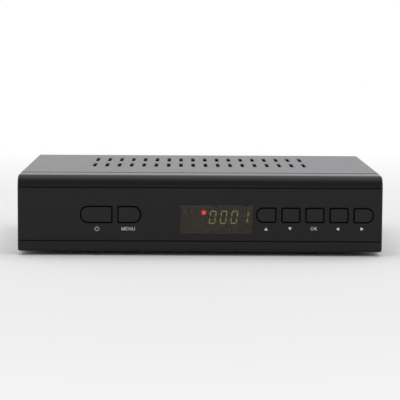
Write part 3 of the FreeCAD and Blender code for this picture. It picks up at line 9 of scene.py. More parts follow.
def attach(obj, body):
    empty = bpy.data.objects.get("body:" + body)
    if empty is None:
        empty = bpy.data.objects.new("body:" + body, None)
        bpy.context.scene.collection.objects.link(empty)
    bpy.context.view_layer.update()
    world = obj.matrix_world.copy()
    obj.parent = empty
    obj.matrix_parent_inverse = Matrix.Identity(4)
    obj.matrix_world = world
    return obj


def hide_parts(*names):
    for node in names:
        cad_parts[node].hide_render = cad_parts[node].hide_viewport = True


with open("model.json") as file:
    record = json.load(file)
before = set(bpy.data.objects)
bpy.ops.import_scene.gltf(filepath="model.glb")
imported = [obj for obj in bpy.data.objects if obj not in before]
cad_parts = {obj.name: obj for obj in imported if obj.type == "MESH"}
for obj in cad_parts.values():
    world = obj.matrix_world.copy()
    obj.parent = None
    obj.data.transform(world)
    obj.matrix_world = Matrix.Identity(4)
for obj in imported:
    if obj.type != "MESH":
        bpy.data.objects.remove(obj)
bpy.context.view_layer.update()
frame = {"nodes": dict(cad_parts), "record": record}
nodes = frame["nodes"]

MM = 0.001
FRONT = -82.2  # y of the front face, in mm
LIFT = 2.5  # height of the bezel's underside above the floor, in mm


def at(x, y, z):
    """A place given in mm from the front face and the bezel's underside, in the frame's metres."""
    return Vector((x, y + FRONT, z + LIFT)) * MM


# ---- camera ---------------------------------------------------------------------------------
SENSOR = 36.0  # mm
LENS = 153.4  # mm
CLIP_START, CLIP_END = 0.05, 50.0  # m
CAMERA_AT = Vector((-0.01005, -1.10225, 0.14133))  # m
YAW, PITCH, ROLL = (math.radians(a) for a in (0.555, -6.008, 0.331))


def add_camera():
    """Looks at the front from a little above it and a little to the left of its middle."""
    data = bpy.data.cameras.new("camera")
    data.sensor_width = SENSOR
    data.lens = LENS
    data.clip_start, data.clip_end = CLIP_START, CLIP_END
    camera = bpy.data.objects.new("camera", data)
    level = math.cos(PITCH)
    forward = Vector((math.sin(YAW) * level, math.cos(YAW) * level, math.sin(PITCH)))
    right = Vector((math.cos(YAW), -math.sin(YAW), 0.0))
    up = right.cross(forward)
    across = right * math.cos(ROLL) + up * math.sin(ROLL)
    above = up * math.cos(ROLL) - right * math.sin(ROLL)
    turn = Matrix((across, above, -forward)).transposed()
    camera.matrix_world = Matrix.Translation(CAMERA_AT) @ turn.to_4x4()
    bpy.context.scene.collection.objects.link(camera)
    bpy.context.scene.camera = camera


# ---- shader nodes ---------------------------------------------------------------------------
MIX_A, MIX_B, MIX_RESULT = 6, 7, 2  # a Mix node's sockets for colours
WHITE = (1.0, 1.0, 1.0, 1.0)


def srgb(r, g, b):
    """A colour given as it looks on a screen, 0 to 255, as the shader wants it."""
    out = []
    for c in (r, g, b):
        c /= 255
        out.append(c / 12.92 if c <= 0.04045 else ((c + 0.055) / 1.055) ** 2.4)
    return (*out, 1.0)


def scaled(colour, share):
    return (*(c * share for c in colour[:3]), 1.0)


def add_math(tree, kind, operation, *values):
    """The outputs of a math node that is fed with numbers, vectors or outputs of other nodes."""
    made = tree.nodes.new(kind)
    made.operation = operation
    for socket, value in zip(made.inputs, values):
        if isinstance(value, bpy.types.NodeSocket):
            tree.links.new(value, socket)
        else:
            socket.default_value = value
    return made.outputs


def add_number_math(tree, operation, *values):
    return add_math(tree, "ShaderNodeMath", operation, *values)["Value"]


def add_range(tree, value, start, stop, smooth=False):
    """Brings a value from the range start to the range stop, with soft ends if smooth."""
    made = tree.nodes.new("ShaderNodeMapRange")
    if smooth:
        made.interpolation_type = "SMOOTHSTEP"
    for socket, number in zip(("From Min", "From Max", "To Min", "To Max"), (*start, *stop)):
        made.inputs[socket].default_value = number
    tree.links.new(value, made.inputs["Value"])
    return made.outputs["Result"]


def add_shader_mix(tree, share, first, second, output):
    """Shows the second shader by its share, over the first."""
    mix = tree.nodes.new("ShaderNodeMixShader")
    tree.links.new(share, mix.inputs["Fac"])
    tree.links.new(first.outputs[0], mix.inputs[1])
    tree.links.new(second.outputs[0], mix.inputs[2])
    tree.links.new(mix.outputs[0], output.inputs["Surface"])


def shown_rays(tree):
    """1 for the rays that show the backdrop: the camera's own, and those of gloss and of glass."""
    path = tree.nodes.new("ShaderNodeLightPath")
    seen = path.outputs["Is Camera Ray"]
    for ray in ("Is Glossy Ray", "Is Transmission Ray"):
        seen = add_number_math(tree, "MAXIMUM", seen, path.outputs[ray])
    return seen


# ---- materials ------------------------------------------------------------------------------
NOISE_RANGE = (0.3, 0.7)  # where most values of a noise texture lie
GLOW_FALL = 12  # how many times dimmer a lamp glows at its rim than at its core


class Look:
    """One node material: a Principled shader and the textures that drive it."""

    def __init__(self, name, **sockets):
        self.material = bpy.data.materials.new(name)
        self.material.use_nodes = True
        self.tree = self.material.node_tree
        self.nodes, self.links = self.tree.nodes, self.tree.links
        self.shader = self.nodes["Principled BSDF"]
        self.place = self.nodes.new("ShaderNodeTexCoord").outputs["Object"]
        for socket, value in sockets.items():
            self.shader.inputs[socket.replace("_", " ")].default_value = value

    def node(self, kind, **inputs):
        made = self.nodes.new(kind)
        for socket, value in inputs.items():
            made.inputs[socket.replace("_", " ")].default_value = value
        return made

    def stretched(self, scale):
        """The place on the surface, with each axis scaled."""
        mapping = self.node("ShaderNodeMapping", Scale=scale)
        self.links.new(self.place, mapping.inputs["Vector"])
        return mapping.outputs["Vector"]

    def noise(self, scale, detail=3.0, place=None):
        made = self.node("ShaderNodeTexNoise", Scale=scale, Detail=detail)
        self.links.new(place or self.place, made.inputs["Vector"])
        return made.outputs["Fac"]

    def ramp(self, value, stops):
        """A colour ramp: stops is a list of (position, colour)."""
        made = self.nodes.new("ShaderNodeValToRGB")
        while len(made.color_ramp.elements) < len(stops):
            made.color_ramp.elements.new(0.5)
        for element, (position, colour) in zip(made.color_ramp.elements, stops):
            element.position = position
            element.color = colour
        self.links.new(value, made.inputs["Fac"])
        return made.outputs["Color"]

    def colour(self, output):
        self.links.new(output, self.shader.inputs["Base Color"])
        return self

    def mottle(self, base, scale=180.0, amount=0.06):
        """A base colour that clouds a little darker and lighter, by the amount."""
        shades = (scaled(base, 1 - amount), scaled(base, 1 + amount))
        return self.colour(self.ramp(self.noise(scale), list(zip(NOISE_RANGE, shades))))

    def roughness(self, low, high, scale=260.0, place=None):
        noise = self.noise(scale, 4.0, place)
        value = add_range(self.tree, noise, NOISE_RANGE, (low, high))
        self.links.new(value, self.shader.inputs["Roughness"])
        return self

    def bump(self, scale, height, strength=0.6, place=None):
        """A fine noise relief, with its height in metres."""
        return self.relief(self.noise(scale, 2.0, place), height, strength)

    def relief(self, value, height, strength=1.0):
        made = self.node("ShaderNodeBump", Strength=strength, Distance=height)
        self.links.new(value, made.inputs["Height"])
        self.links.new(made.outputs["Normal"], self.shader.inputs["Normal"])
        return self

    def bands(self, scale, height):
        """Even ridges that follow one another along x, each 2 pi / (20 scale) metres wide."""
        made = self.node("ShaderNodeTexWave", Scale=scale)
        self.links.new(self.place, made.inputs["Vector"])
        return self.relief(made.outputs["Fac"], height)

    def within(self, **limits):
        """1 inside a box and 0 outside it. Each limit is an axis with its low and high, in mm."""
        split = self.node("ShaderNodeSeparateXYZ")
        self.links.new(self.place, split.inputs["Vector"])
        inside = 1.0
        for axis, (low, high) in limits.items():
            middle, half = (low + high) / 2 * MM, (high - low) / 2 * MM
            test = add_number_math(self.tree, "COMPARE", split.outputs[axis], middle, half)
            inside = add_number_math(self.tree, "MULTIPLY", inside, test)
        return inside

    def dull_with_painted_shade(self, colour, **limits):
        """Painted shade and little gloss inside a box, such as on the walls of the gaps round the keys.

        Outside the box the specular level is the shader's own, so a look that is less glossy there
        says so with its Specular Tint.
        """
        inside = self.within(**limits)
        base, level = self.shader.inputs["Base Color"], self.shader.inputs["Specular IOR Level"]
        mix = self.nodes.new("ShaderNodeMix")
        mix.data_type = "RGBA"
        self.links.new(inside, mix.inputs["Factor"])
        self.links.new(base.links[0].from_socket, mix.inputs[MIX_A])
        mix.inputs[MIX_B].default_value = colour
        self.links.new(mix.outputs[MIX_RESULT], base)
        gloss = add_range(self.tree, inside, (0.0, 1.0), (level.default_value, SHADE_GLOSS))
        self.links.new(gloss, level)
        return self

    def hot_spot(self, x, z, core, reach):
        """Full glow within the core radius of a line along y, fading to a little at reach, in mm."""
        flat, to_line = (1.0, 0.0, 1.0), (-x * MM, 0.0, -z * MM)
        kind = "ShaderNodeVectorMath"
        off = add_math(self.tree, kind, "MULTIPLY_ADD", self.place, flat, to_line)["Vector"]
        away = add_math(self.tree, kind, "LENGTH", off)["Value"]
        glow = self.shader.inputs["Emission Strength"]
        full = glow.default_value
        radii, strengths = (core * MM, reach * MM), (full, full / GLOW_FALL)
        self.links.new(add_range(self.tree, away, radii, strengths, smooth=True), glow)
        return self

    def cells(self, scale, stops):
        """Colour from the distance to the edges of a cell pattern."""
        made = self.node("ShaderNodeTexVoronoi", Scale=scale)
        made.feature = "DISTANCE_TO_EDGE"
        self.links.new(self.place, made.inputs["Vector"])
        return self.colour(self.ramp(made.outputs["Distance"], stops))


def plastic(name, base, rough=(0.36, 0.46), grain=4200.0, relief=0.000004, cloud=0.06, **sockets):
    return Look(name, **sockets).mottle(base, amount=cloud).roughness(*rough).bump(grain, relief)


def metal(name, base, rough=(0.22, 0.38), along=(1.0, 1.0, 1.0), relief=0.000003):
    """Metal with fine marks, which are shorter along an axis that is scaled up."""
    look = Look(name, Metallic=1.0).mottle(base, scale=300.0, amount=0.05)
    place = look.stretched(along)
    look.roughness(*rough, scale=900.0, place=place)
    return look.bump(scale=2600.0, height=relief, strength=0.5, place=place)


TRACK_SCALE, TRACK_HALF, TRACK_EDGE = 260.0, 0.05, 0.09  # cells, and shares of a cell


def board(name, mask, trace, rough):
    """Laminate with tracks that show through its coating."""
    look = Look(name).roughness(*rough).bump(scale=4200.0, height=0.000003)
    return look.cells(TRACK_SCALE, [(0.0, trace), (TRACK_HALF, trace), (TRACK_EDGE, mask)])


def lit(name, base, glow, strength):
    return plastic(name, base, Emission_Color=glow, Emission_Strength=strength)


# Painted shade, with little gloss, on the walls behind the front face and on the cover's front edge in
# the seam. Lengths are in the frame's mm.
PAINTED_SHADE_BLACK, PAINTED_SEAM_SHADE, SHADE_GLOSS = srgb(16, 16, 16), srgb(13, 13, 14), 0.1
FACE_LOW, FACE_TOP, FACE_HALF = 4.2, 41.5, 108.6  # z, z and half width of the flat front face
CASE_SHADE_DEPTH, KEY_SHADE_DEPTH = 0.17, 0.02  # how far behind the front face the painted shade begins
COVER_FRONT = FRONT + 20.8
SEAM_SHADE_BEFORE, SEAM_SHADE_BEHIND = 0.1, 0.06  # how far the painted shade of the seam reaches round COVER_FRONT, in front and behind

CASE_SHINE, KEY_SHINE = (0.48, 0.48, 0.48, 1.0), (0.52, 0.52, 0.52, 1.0)
WINDOW_SHINE = (0.25, 0.24, 0.22, 1.0)
ROLLED, EXTRUDED = (1.0, 6.0, 1.0), (1.0, 8.0, 1.0)  # scales of their marks along x, y and z
LAMP_X, LAMP_Z = 2.25, 23.2 + LIFT
LAMP_CORE, LAMP_REACH = 0.95, 1.5  # radii of its glow, in mm

# Each look is named by a slot of the record. A pair of numbers is the least and most roughness.
LOOKS = {
    # Painted shade: the walls behind the flat front face, such as those of the key openings, are darker
    # and less glossy.
    "case_black": plastic(
        "satin_black_moulding", srgb(19, 19, 19.5), (0.28, 0.3), Specular_Tint=CASE_SHINE
    ).dull_with_painted_shade(PAINTED_SHADE_BLACK, X=(-FACE_HALF, FACE_HALF), Y=(FRONT + CASE_SHADE_DEPTH, 0.0), Z=(FACE_LOW, FACE_TOP)),
    # Painted shade: the key's sides behind its front face are darker and less glossy, so the gaps round
    # the keys look dark.
    "key_black": plastic(
        "key_black_moulding", srgb(20, 20, 19.5), (0.28, 0.36), Specular_Tint=KEY_SHINE
    ).dull_with_painted_shade(PAINTED_SHADE_BLACK, Y=(FRONT + KEY_SHADE_DEPTH, 0.0)),
    # Painted shade: a dark band on the cover's front edge, so the seam between cover and bezel looks
    # dark.
    "cover_grey": plastic(
        "grey_powder_paint", srgb(112, 112, 117), (0.42, 0.48), grain=2600.0, relief=0.000008, cloud=0.025
    ).dull_with_painted_shade(PAINTED_SEAM_SHADE, Y=(COVER_FRONT - SEAM_SHADE_BEFORE, COVER_FRONT + SEAM_SHADE_BEHIND)),
    "zinc_steel": metal("zinc_sheet", srgb(176, 178, 182), (0.3, 0.48), ROLLED),
    "screw_steel": metal("screw_zinc", srgb(150, 151, 153)),
    "standoff_brass": metal("turned_brass", srgb(205, 176, 110)),
    "foot_rubber": plastic("black_rubber", srgb(30, 30, 30), (0.7, 0.85), grain=3000.0, relief=0.00002),
    "board_green": board("green_laminate", srgb(24, 88, 46), srgb(48, 122, 66), (0.25, 0.4)),
    "board_tan": board("brown_laminate", srgb(82, 62, 40), srgb(64, 46, 28), (0.45, 0.6)),
    "chip_black": plastic("chip_epoxy", srgb(32, 32, 33), (0.5, 0.65)),
    "sink_aluminium": metal("extruded_aluminium", srgb(190, 191, 193), (0.35, 0.5), EXTRUDED),
    "capacitor_can": plastic("capacitor_sleeve", srgb(36, 44, 84), (0.25, 0.35)),
    "coil_ferrite": plastic("ferrite", srgb(54, 54, 56), (0.6, 0.75)),
    "crystal_steel": metal("crystal_can", srgb(200, 200, 200)),
    "header_white": plastic("header_moulding", srgb(222, 216, 198)),
    "ribbon_grey": Look("ribbon_jacket")
    .mottle(srgb(170, 170, 174))
    .roughness(0.4, 0.5)
    .bands(scale=247.0, height=0.0002),
    "tuner_tin": metal("tinned_sheet", srgb(200, 200, 196), (0.22, 0.4)),
    "plated_brass": metal("nickel_plate", srgb(198, 192, 180), (0.15, 0.28)),
    "barrel_tin": metal("barrel_plate", srgb(206, 204, 198), (0.15, 0.28)),
    "phono_white": plastic("white_moulding", srgb(228, 228, 224), (0.25, 0.35)),
    "phono_red": plastic("red_moulding", srgb(186, 30, 28), (0.25, 0.35)),
    "phono_orange": plastic("orange_moulding", srgb(226, 116, 30), (0.25, 0.35)),
    "socket_black": plastic("socket_moulding", srgb(30, 30, 30), (0.4, 0.55)),
    "contact_gold": metal("gold_flash", srgb(222, 186, 110), (0.15, 0.25)),
    "shell_steel": metal("shell_plate", srgb(196, 196, 196), (0.2, 0.35)),
    "tongue_white": plastic("tongue_moulding", srgb(222, 222, 218), (0.3, 0.4)),
    "switch_black": plastic("switch_moulding", srgb(26, 26, 26), (0.35, 0.45)),
    "rocker_black": plastic("rocker_moulding", srgb(24, 24, 24), (0.2, 0.3)),
    "lead_black": plastic("lead_jacket", srgb(28, 28, 28), (0.4, 0.5)),
    "tact_grey": plastic("tact_body", srgb(88, 88, 90)),
    "plunger_brown": plastic("plunger_moulding", srgb(84, 62, 46)),
    "module_dark": plastic("module_face", srgb(32, 32, 34), (0.4, 0.5)),
    "digit_green": lit("lit_digit", srgb(112, 124, 66), srgb(224, 252, 145), strength=1.0),
    "lamp_red": lit("lit_lamp", srgb(120, 20, 26), srgb(255, 72, 96), strength=4.4).hot_spot(
        LAMP_X, LAMP_Z, LAMP_CORE, LAMP_REACH
    ),
    "eye_dark": plastic("eye_epoxy", srgb(40, 32, 34), (0.1, 0.16)),
    "window_smoke": Look("smoked_window", Transmission_Weight=0.86, IOR=1.49, Specular_Tint=WINDOW_SHINE)
    .mottle(srgb(132, 124, 114), scale=60.0, amount=0.02)
    .roughness(0.03, 0.06, scale=90.0),
}
PRINT = plastic("white_print", srgb(222, 222, 220), (0.5, 0.6))
UNLIT = plastic("unlit_segment", srgb(48, 48, 47), (0.4, 0.5))


def dress_nodes():
    """Gives every CAD node the material of its slot in the record."""
    for part in frame["record"]["subparts"]:
        node = nodes[part["node"]]
        node.data.materials.clear()
        node.data.materials.append(LOOKS[part["material_slot"]].material)


# ---- building blocks ------------------------------------------------------------------------
def piece(name, work, body, slot, look=None):
    """Turns a bmesh into a piece that rides on a body, in its slot's look or in one of its own."""
    bmesh.ops.recalc_face_normals(work, faces=work.faces)
    mesh = bpy.data.meshes.new(name)
    work.to_mesh(mesh)
    work.free()
    made = bpy.data.objects.new(name, mesh)
    bpy.context.scene.collection.objects.link(made)
    mesh.materials.append((look or LOOKS[slot]).material)
    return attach(made, body)


def add_prism(work, outline, origin, across, up, low, high):
    """A flat shape, drawn in mm on two directions from origin, with a thickness along their normal."""
    normal = across.cross(up)
    rings = []
    for level in (low, high):
        points = [origin + (across * u + up * v + normal * level) * MM for u, v in outline]
        rings.append([work.verts.new(p) for p in points])
    work.faces.new(rings[0])
    work.faces.new(rings[1])
    for i in range(len(outline)):
        j = (i + 1) % len(outline)
        work.faces.new((rings[0][i], rings[0][j], rings[1][j], rings[1][i]))


def add_turned(work, x, z, profile, segments=48, radius_at=None):
    """A body turned about a line along y. profile is a closed loop of (y, radius) in mm."""
    rings = []
    for y, r in profile:
        if r == 0:
            rings.append([work.verts.new(at(x, y, z))])
            continue
        ring = []
        for i in range(segments):
            turn = 2 * math.pi * i / segments
            reach = radius_at(y, r, turn) if radius_at else r
            ring.append(work.verts.new(at(x + reach * math.cos(turn), y, z + reach * math.sin(turn))))
        rings.append(ring)
    for k, ring in enumerate(rings):
        after = rings[(k + 1) % len(rings)]
        if len(ring) == 1 and len(after) == 1:
            continue
        for i in range(segments):
            j = (i + 1) % segments
            if len(ring) == 1:
                work.faces.new((ring[0], after[i], after[j]))
            elif len(after) == 1:
                work.faces.new((ring[i], after[0], ring[j]))
            else:
                work.faces.new((ring[i], after[i], after[j], ring[j]))


def add_strip(work, low, high, bevel):
    """A bar between two corners, with all its edges bevelled, in mm."""
    made = bmesh.ops.create_cube(work, size=1.0)["verts"]
    for vert in made:
        vert.co = at(*(a + (b - a) * (c + 0.5) for a, b, c in zip(low, high, vert.co)))
    edges = list({e for v in made for e in v.link_edges})
    bmesh.ops.bevel(work, geom=edges, offset=bevel * MM, segments=2, affect="EDGES")


# ---- printed marks --------------------------------------------------------------------------
RIGHTWARD, UPWARD = Vector((1.0, 0.0, 0.0)), Vector((0.0, 0.0, 1.0))
PRINT_SUNK, PRINT_PROUD = -0.02, 0.02  # mm from the surface that carries it
ARROWS = {  # x and z of the middle in mm, and the heading in degrees
    "up": (39.75, 14.1, 90),
    "down": (54.2, 14.2, 270),
    "left": (82.95, 14.2, 180),
    "right": (97.7, 14.3, 0),
}
ARROW_LONG, ARROW_WIDE = 1.75, 2.0  # mm
WORDS = {  # the letters, x and z of the middle, width and height in mm
    "menu": ("MENU", -43.35, 13.85, 8.0, 2.0),
    "ok": ("OK", 68.55, 14.37, 3.75, 2.0),
}
# Widths, gap and stroke are in a word's own unit, which is about its height.
LETTER_WIDTHS = {"M": 0.86, "E": 0.6, "N": 0.74, "U": 0.72, "O": 0.86, "K": 0.7}
LETTER_GAP, LETTER_STROKE = 0.28, 0.095
POWER_X, POWER_Z, POWER_R, POWER_STROKE = -62.2, 13.8, 1.25, 0.21  # mm
POWER_GAP = 38  # degrees each side of the top
POWER_STEPS = 24
BAR_FROM, BAR_PAST = 0.2, 0.35  # mm from the sign's middle, and past its ring


def add_front_print(work, outline, x, z):
    """One printed shape on the front face, drawn in mm from a place on it."""
    add_prism(work, outline, at(x, 0, z), RIGHTWARD, UPWARD, PRINT_SUNK, PRINT_PROUD)


def add_arrow_mark(name, x, z, heading):
    """A solid triangle that points along its heading."""
    tip, back, side = ARROW_LONG / 2, -ARROW_LONG / 2, ARROW_WIDE / 2
    c, s = math.cos(math.radians(heading)), math.sin(math.radians(heading))
    outline = [(u * c - v * s, u * s + v * c) for u, v in ((tip, 0), (back, side), (back, -side))]
    work = bmesh.new()
    add_front_print(work, outline, x, z)
    piece(f"print_{name}_arrow", work, "receiver", "tongue_white", PRINT)


def letter_outline(letter, w, t):
    """Outline of a letter one high and w wide, with strokes t thick."""
    if letter == "M":
        d = 2.5 * t
        left = [(0, 0), (t, 0), (t, 1 - d), (w / 2 - t / 2, 0)]
        right = [(w / 2 + t / 2, 0), (w - t, 1 - d), (w - t, 0), (w, 0)]
        return [*left, *right, (w, 1), (w - 1.2 * t, 1), (w / 2, d * 0.9), (1.2 * t, 1), (0, 1)]
    if letter == "E":
        a, b = 0.5 - t / 2, 0.5 + t / 2
        low, bar = [(0, 0), (w, 0), (w, t), (t, t)], [(t, a), (0.9 * w, a), (0.9 * w, b), (t, b)]
        return [*low, *bar, (t, 1 - t), (w, 1 - t), (w, 1), (0, 1)]
    if letter == "N":
        d = 1.8 * t
        left, right = [(0, 0), (t, 0), (t, 1 - d), (w - t, 0)], [(w, 0), (w, 1), (w - t, 1), (w - t, d)]
        return [*left, *right, (t, 1), (0, 1)]
    if letter == "U":
        outer = [(0, 1), (0, 0.24), (0.1 * w, 0.07), (0.3 * w, 0)]
        outer += [(0.7 * w, 0), (0.9 * w, 0.07), (w, 0.24), (w, 1)]
        return outer + [(w - t, 1), (w - t, 0.28), (0.68 * w, t), (0.32 * w, t), (t, 0.28), (t, 1)]
    leg = [(0, 0), (t, 0), (t, 0.34), (0.36 * w, 0.48), (w - 1.4 * t, 0), (w, 0)]
    return leg + [(0.52 * w, 0.62), (0.96 * w, 1), (0.96 * w - 1.35 * t, 1), (t, 0.52), (t, 1), (0, 1)]


def add_ring(work, origin, across, up, outer, inner, segments=32):
    """A printed ring between two ellipses, each given by its half width and half height in mm."""
    normal = across.cross(up)
    turns = [2 * math.pi * i / segments for i in range(segments)]
    corners = ((outer, PRINT_SUNK), (outer, PRINT_PROUD), (inner, PRINT_PROUD), (inner, PRINT_SUNK))
    loops = []
    for (a, b), level in corners:
        places = [across * (a * math.cos(t)) + up * (b * math.sin(t)) + normal * level for t in turns]
        loops.append([work.verts.new(origin + p * MM) for p in places])
    for k, loop in enumerate(loops):
        after = loops[(k + 1) % len(loops)]
        for i in range(segments):
            j = (i + 1) % segments
            work.faces.new((loop[i], loop[j], after[j], after[i]))


def add_word_mark(name, words, x, z, width, height):
    """Printed capitals, as thin even strokes, that fill a given width and height."""
    widths = [LETTER_WIDTHS[c] for c in words]
    unit = width / (sum(widths) + LETTER_GAP * (len(words) - 1))
    work = bmesh.new()
    u0 = 0.0
    for letter, w in zip(words, widths):
        left, low = x - width / 2 + u0 * unit, z - height / 2
        if letter == "O":
            middle = at(left, 0, low) + (RIGHTWARD * w * unit + UPWARD * height) * (MM / 2)
            cuts = (0, LETTER_STROKE * height)
            rings = [(w * unit / 2 - cut, height / 2 - cut) for cut in cuts]
            add_ring(work, middle, RIGHTWARD, UPWARD, *rings)
        else:
            outline = [(u * unit, v * height) for u, v in letter_outline(letter, w, LETTER_STROKE)]
            add_front_print(work, outline, left, low)
        u0 += w + LETTER_GAP
    piece(f"print_{name}", work, "receiver", "tongue_white", PRINT)


def add_power_mark():
    """The power sign: a ring that is open at the top, with a short bar in its gap."""
    start, end = math.radians(90 + POWER_GAP), math.radians(450 - POWER_GAP)
    turns = [start + (end - start) * i / POWER_STEPS for i in range(POWER_STEPS + 1)]
    half = POWER_STROKE / 2
    radii = (POWER_R + half, POWER_R - half)
    outer, inner = ([(r * math.cos(t), r * math.sin(t)) for t in turns] for r in radii)
    low, high = BAR_FROM, POWER_R + BAR_PAST
    bar = [(-half, low), (half, low), (half, high), (-half, high)]
    work = bmesh.new()
    for outline in (outer + inner[::-1], bar):
        add_front_print(work, outline, POWER_X, POWER_Z)
    piece("print_power", work, "receiver", "tongue_white", PRINT)


# ---- display --------------------------------------------------------------------------------
MODULE_FACE = 4.0  # y of the display's face
DIGIT_X, DIGIT_Z = 17.35, 20.75  # middle of the four digits
DIGIT_PITCH, DIGIT_W, DIGIT_H, STROKE, DIGIT_GAP = 6.5, 3.9, 7.9, 0.62, 0.28
LEAN = math.tan(math.radians(8.0))
DOT, DOT_OFF = 0.6, 0.45  # side of a point, and its distance from its digit
COLON_OFF, COLON_RISE = 0.9, 1.6  # distance from the digit, and height of a point's middle
SEGMENT_SUNK, SEGMENT_PROUD = -0.02, 0.05


def add_unlit_segments():
    """The dark bars and points that the digits 0001 leave unlit."""
    w, h, t, g = DIGIT_W / 2, DIGIT_H / 2, STROKE, DIGIT_GAP
    middle = (-w + t + g, w - t - g, -t / 2, t / 2)
    dark_in_one = [
        (-w + g, w - g, h - t, h),
        (-w + g, w - g, -h, -h + t),
        (-w, -w + t, t / 2 + g, h - t - g),
        (-w, -w + t, -h + t + g, -t / 2 - g),
        middle,
    ]
    dot = (w + DOT_OFF, w + DOT_OFF + DOT, -h, -h + DOT)
    near, far = w + COLON_OFF, w + COLON_OFF + DOT
    colon = [(near, far, z - DOT / 2, z + DOT / 2) for z in (-COLON_RISE, COLON_RISE)]
    dark = ([middle, dot], [middle, dot, *colon], [middle, dot], [*dark_in_one, dot])
    work = bmesh.new()
    for i, bars in enumerate(dark):
        x = DIGIT_X + (i - (len(dark) - 1) / 2) * DIGIT_PITCH
        for x0, x1, z0, z1 in bars:
            corners = ((x0, z0), (x1, z0), (x1, z1), (x0, z1))
            outline = [(cx + LEAN * cz, cz) for cx, cz in corners]
            origin = at(x, MODULE_FACE, DIGIT_Z)
            add_prism(work, outline, origin, RIGHTWARD, UPWARD, SEGMENT_SUNK, SEGMENT_PROUD)
    piece("unlit_segments", work, "receiver", "module_dark", UNLIT)


EYE_X, EYE_Z = -7.4, 23.3
EYE_RIM = ((5.1, 1.6), (5.1, 1.82), (6.0, 2.3), (6.0, 2.1))  # y and radius of the tabs' section
EYE_SWEEP = 52  # degrees above and below the middle
EYE_STEPS = 14


def add_eye_rim():
    """The two curved tabs of the metal shield beside the lens of the remote eye."""
    work = bmesh.new()
    for middle in (0, 180):
        rings = []
        for i in range(EYE_STEPS + 1):
            turn = math.radians(middle + EYE_SWEEP * (2 * i / EYE_STEPS - 1))
            ring = [at(EYE_X + r * math.cos(turn), y, EYE_Z + r * math.sin(turn)) for y, r in EYE_RIM]
            rings.append([work.verts.new(p) for p in ring])
        work.faces.new(rings[0])
        work.faces.new(rings[-1])
        for ring, after in zip(rings, rings[1:]):
            for k in range(len(EYE_RIM)):
                j = (k + 1) % len(EYE_RIM)
                work.faces.new((ring[k], ring[j], after[j], after[k]))
    piece("eye_shield_tabs", work, "receiver", "tuner_tin")


# ---- rear sockets ---------------------------------------------------------------------------
AERIALS = (74.825, 94.825)  # x of each
AERIAL_Z = 16.8
SHANK_FROM, THREAD_FROM, AERIAL_END = 153.0, 156.8, 165.0  # y
SHANK_R, END_R = 4.6, 4.45
THREAD_CREST, THREAD_ROOT, THREAD_PITCH = 4.76, 4.3, 0.79375
THREAD_FADE = 0.4  # over which the thread deepens at each of its ends
FLANK_SLOPE, CREST_FLAT = 1.6, 0.2  # steepness of the groove's flanks, and how flat the crest is
ROWS_A_TURN, THREAD_SEGMENTS = 8, 56
MOUTH_R, MOUTH_FLOOR, MOUTH_CHAMFER = 3.6, 163.8, 0.15
PIN_R, PIN_FLOOR = 0.7, 158.0
INSULATOR_SUNK, INSULATOR_EDGE, INSULATOR_TALL = -0.1, 0.3, 0.45  # y from the mouth's floor
INSULATOR_R, INSULATOR_FACE_R = 3.55, 3.2
INSULATOR_HOLE, INSULATOR_FACE_HOLE = 0.95, 1.15


def thread_radius(y, r, turn):
    """Radius of a screw thread at a place; elsewhere the profile's own radius."""
    if r != THREAD_CREST:
        return r
    phase = ((y - THREAD_FROM) / THREAD_PITCH - turn / (2 * math.pi)) % 1.0
    depth = min(1.0, (y - THREAD_FROM) / THREAD_FADE, (AERIAL_END - THREAD_FADE - y) / THREAD_FADE)
    flank = min(1.0, max(0.0, FLANK_SLOPE * (1 - abs(2 * phase - 1)) - CREST_FLAT))
    return THREAD_CREST - (THREAD_CREST - THREAD_ROOT) * max(0.0, depth) * flank


def add_aerial_sockets():
    """Screw-thread sockets: plain shank, thread, chamfered end, and a mouth with a contact hole."""
    thread_long = AERIAL_END - THREAD_FADE - THREAD_FROM
    rows = round(thread_long / THREAD_PITCH * ROWS_A_TURN)
    profile = [(SHANK_FROM, 0), (SHANK_FROM, SHANK_R), (THREAD_FROM, SHANK_R)]
    profile += [(THREAD_FROM + thread_long / rows * i, THREAD_CREST) for i in range(rows + 1)]
    profile += [(AERIAL_END, END_R), (AERIAL_END, MOUTH_R + MOUTH_CHAMFER)]
    profile += [(AERIAL_END - MOUTH_CHAMFER, MOUTH_R), (MOUTH_FLOOR, MOUTH_R)]
    profile += [(MOUTH_FLOOR, PIN_R), (PIN_FLOOR, PIN_R), (PIN_FLOOR, 0)]
    work = bmesh.new()
    for x in AERIALS:
        add_turned(work, x, AERIAL_Z, profile, THREAD_SEGMENTS, thread_radius)
    made = piece("threaded_aerial_sockets", work, "receiver", "plated_brass")
    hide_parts("aerial_sockets")


def add_aerial_insulators():
    """A white disc with a raised face and a hole for the contact, in each aerial socket's mouth."""
    levels = (INSULATOR_SUNK, INSULATOR_EDGE, INSULATOR_TALL)
    outer = zip(levels, (INSULATOR_R, INSULATOR_R, INSULATOR_FACE_R))
    hole = zip(levels, (INSULATOR_HOLE, INSULATOR_HOLE, INSULATOR_FACE_HOLE))
    profile = [(MOUTH_FLOOR + y, r) for y, r in [*outer, *reversed(list(hole))]]
    work = bmesh.new()
    for x in AERIALS:
        add_turned(work, x, AERIAL_Z, profile)
    piece("aerial_insulators", work, "receiver", "tongue_white")


PICTURE_X, PICTURE_Z = -50.6, 12.1  # middle of the tongue
PICTURE_ROWS = ((10, 0.68), (9, -0.68))  # strips in a row, and its height from the tongue's middle
PICTURE_PITCH = 1.0
PICTURE_STRIP = (0.22, 146.0, 153.3, 0.07, 0.03)  # half width, near and far y, half thickness, bevel
DATA_X, DATA_Z, DATA_DROP = -67.875, 12.8, 0.98  # middle of the tongue, and its strips below it
DATA_STEPS = (-3.5, -1.0, 1.0, 3.5)
DATA_STRIP = (0.5, 143.5, 153.2, 0.09, 0.04)


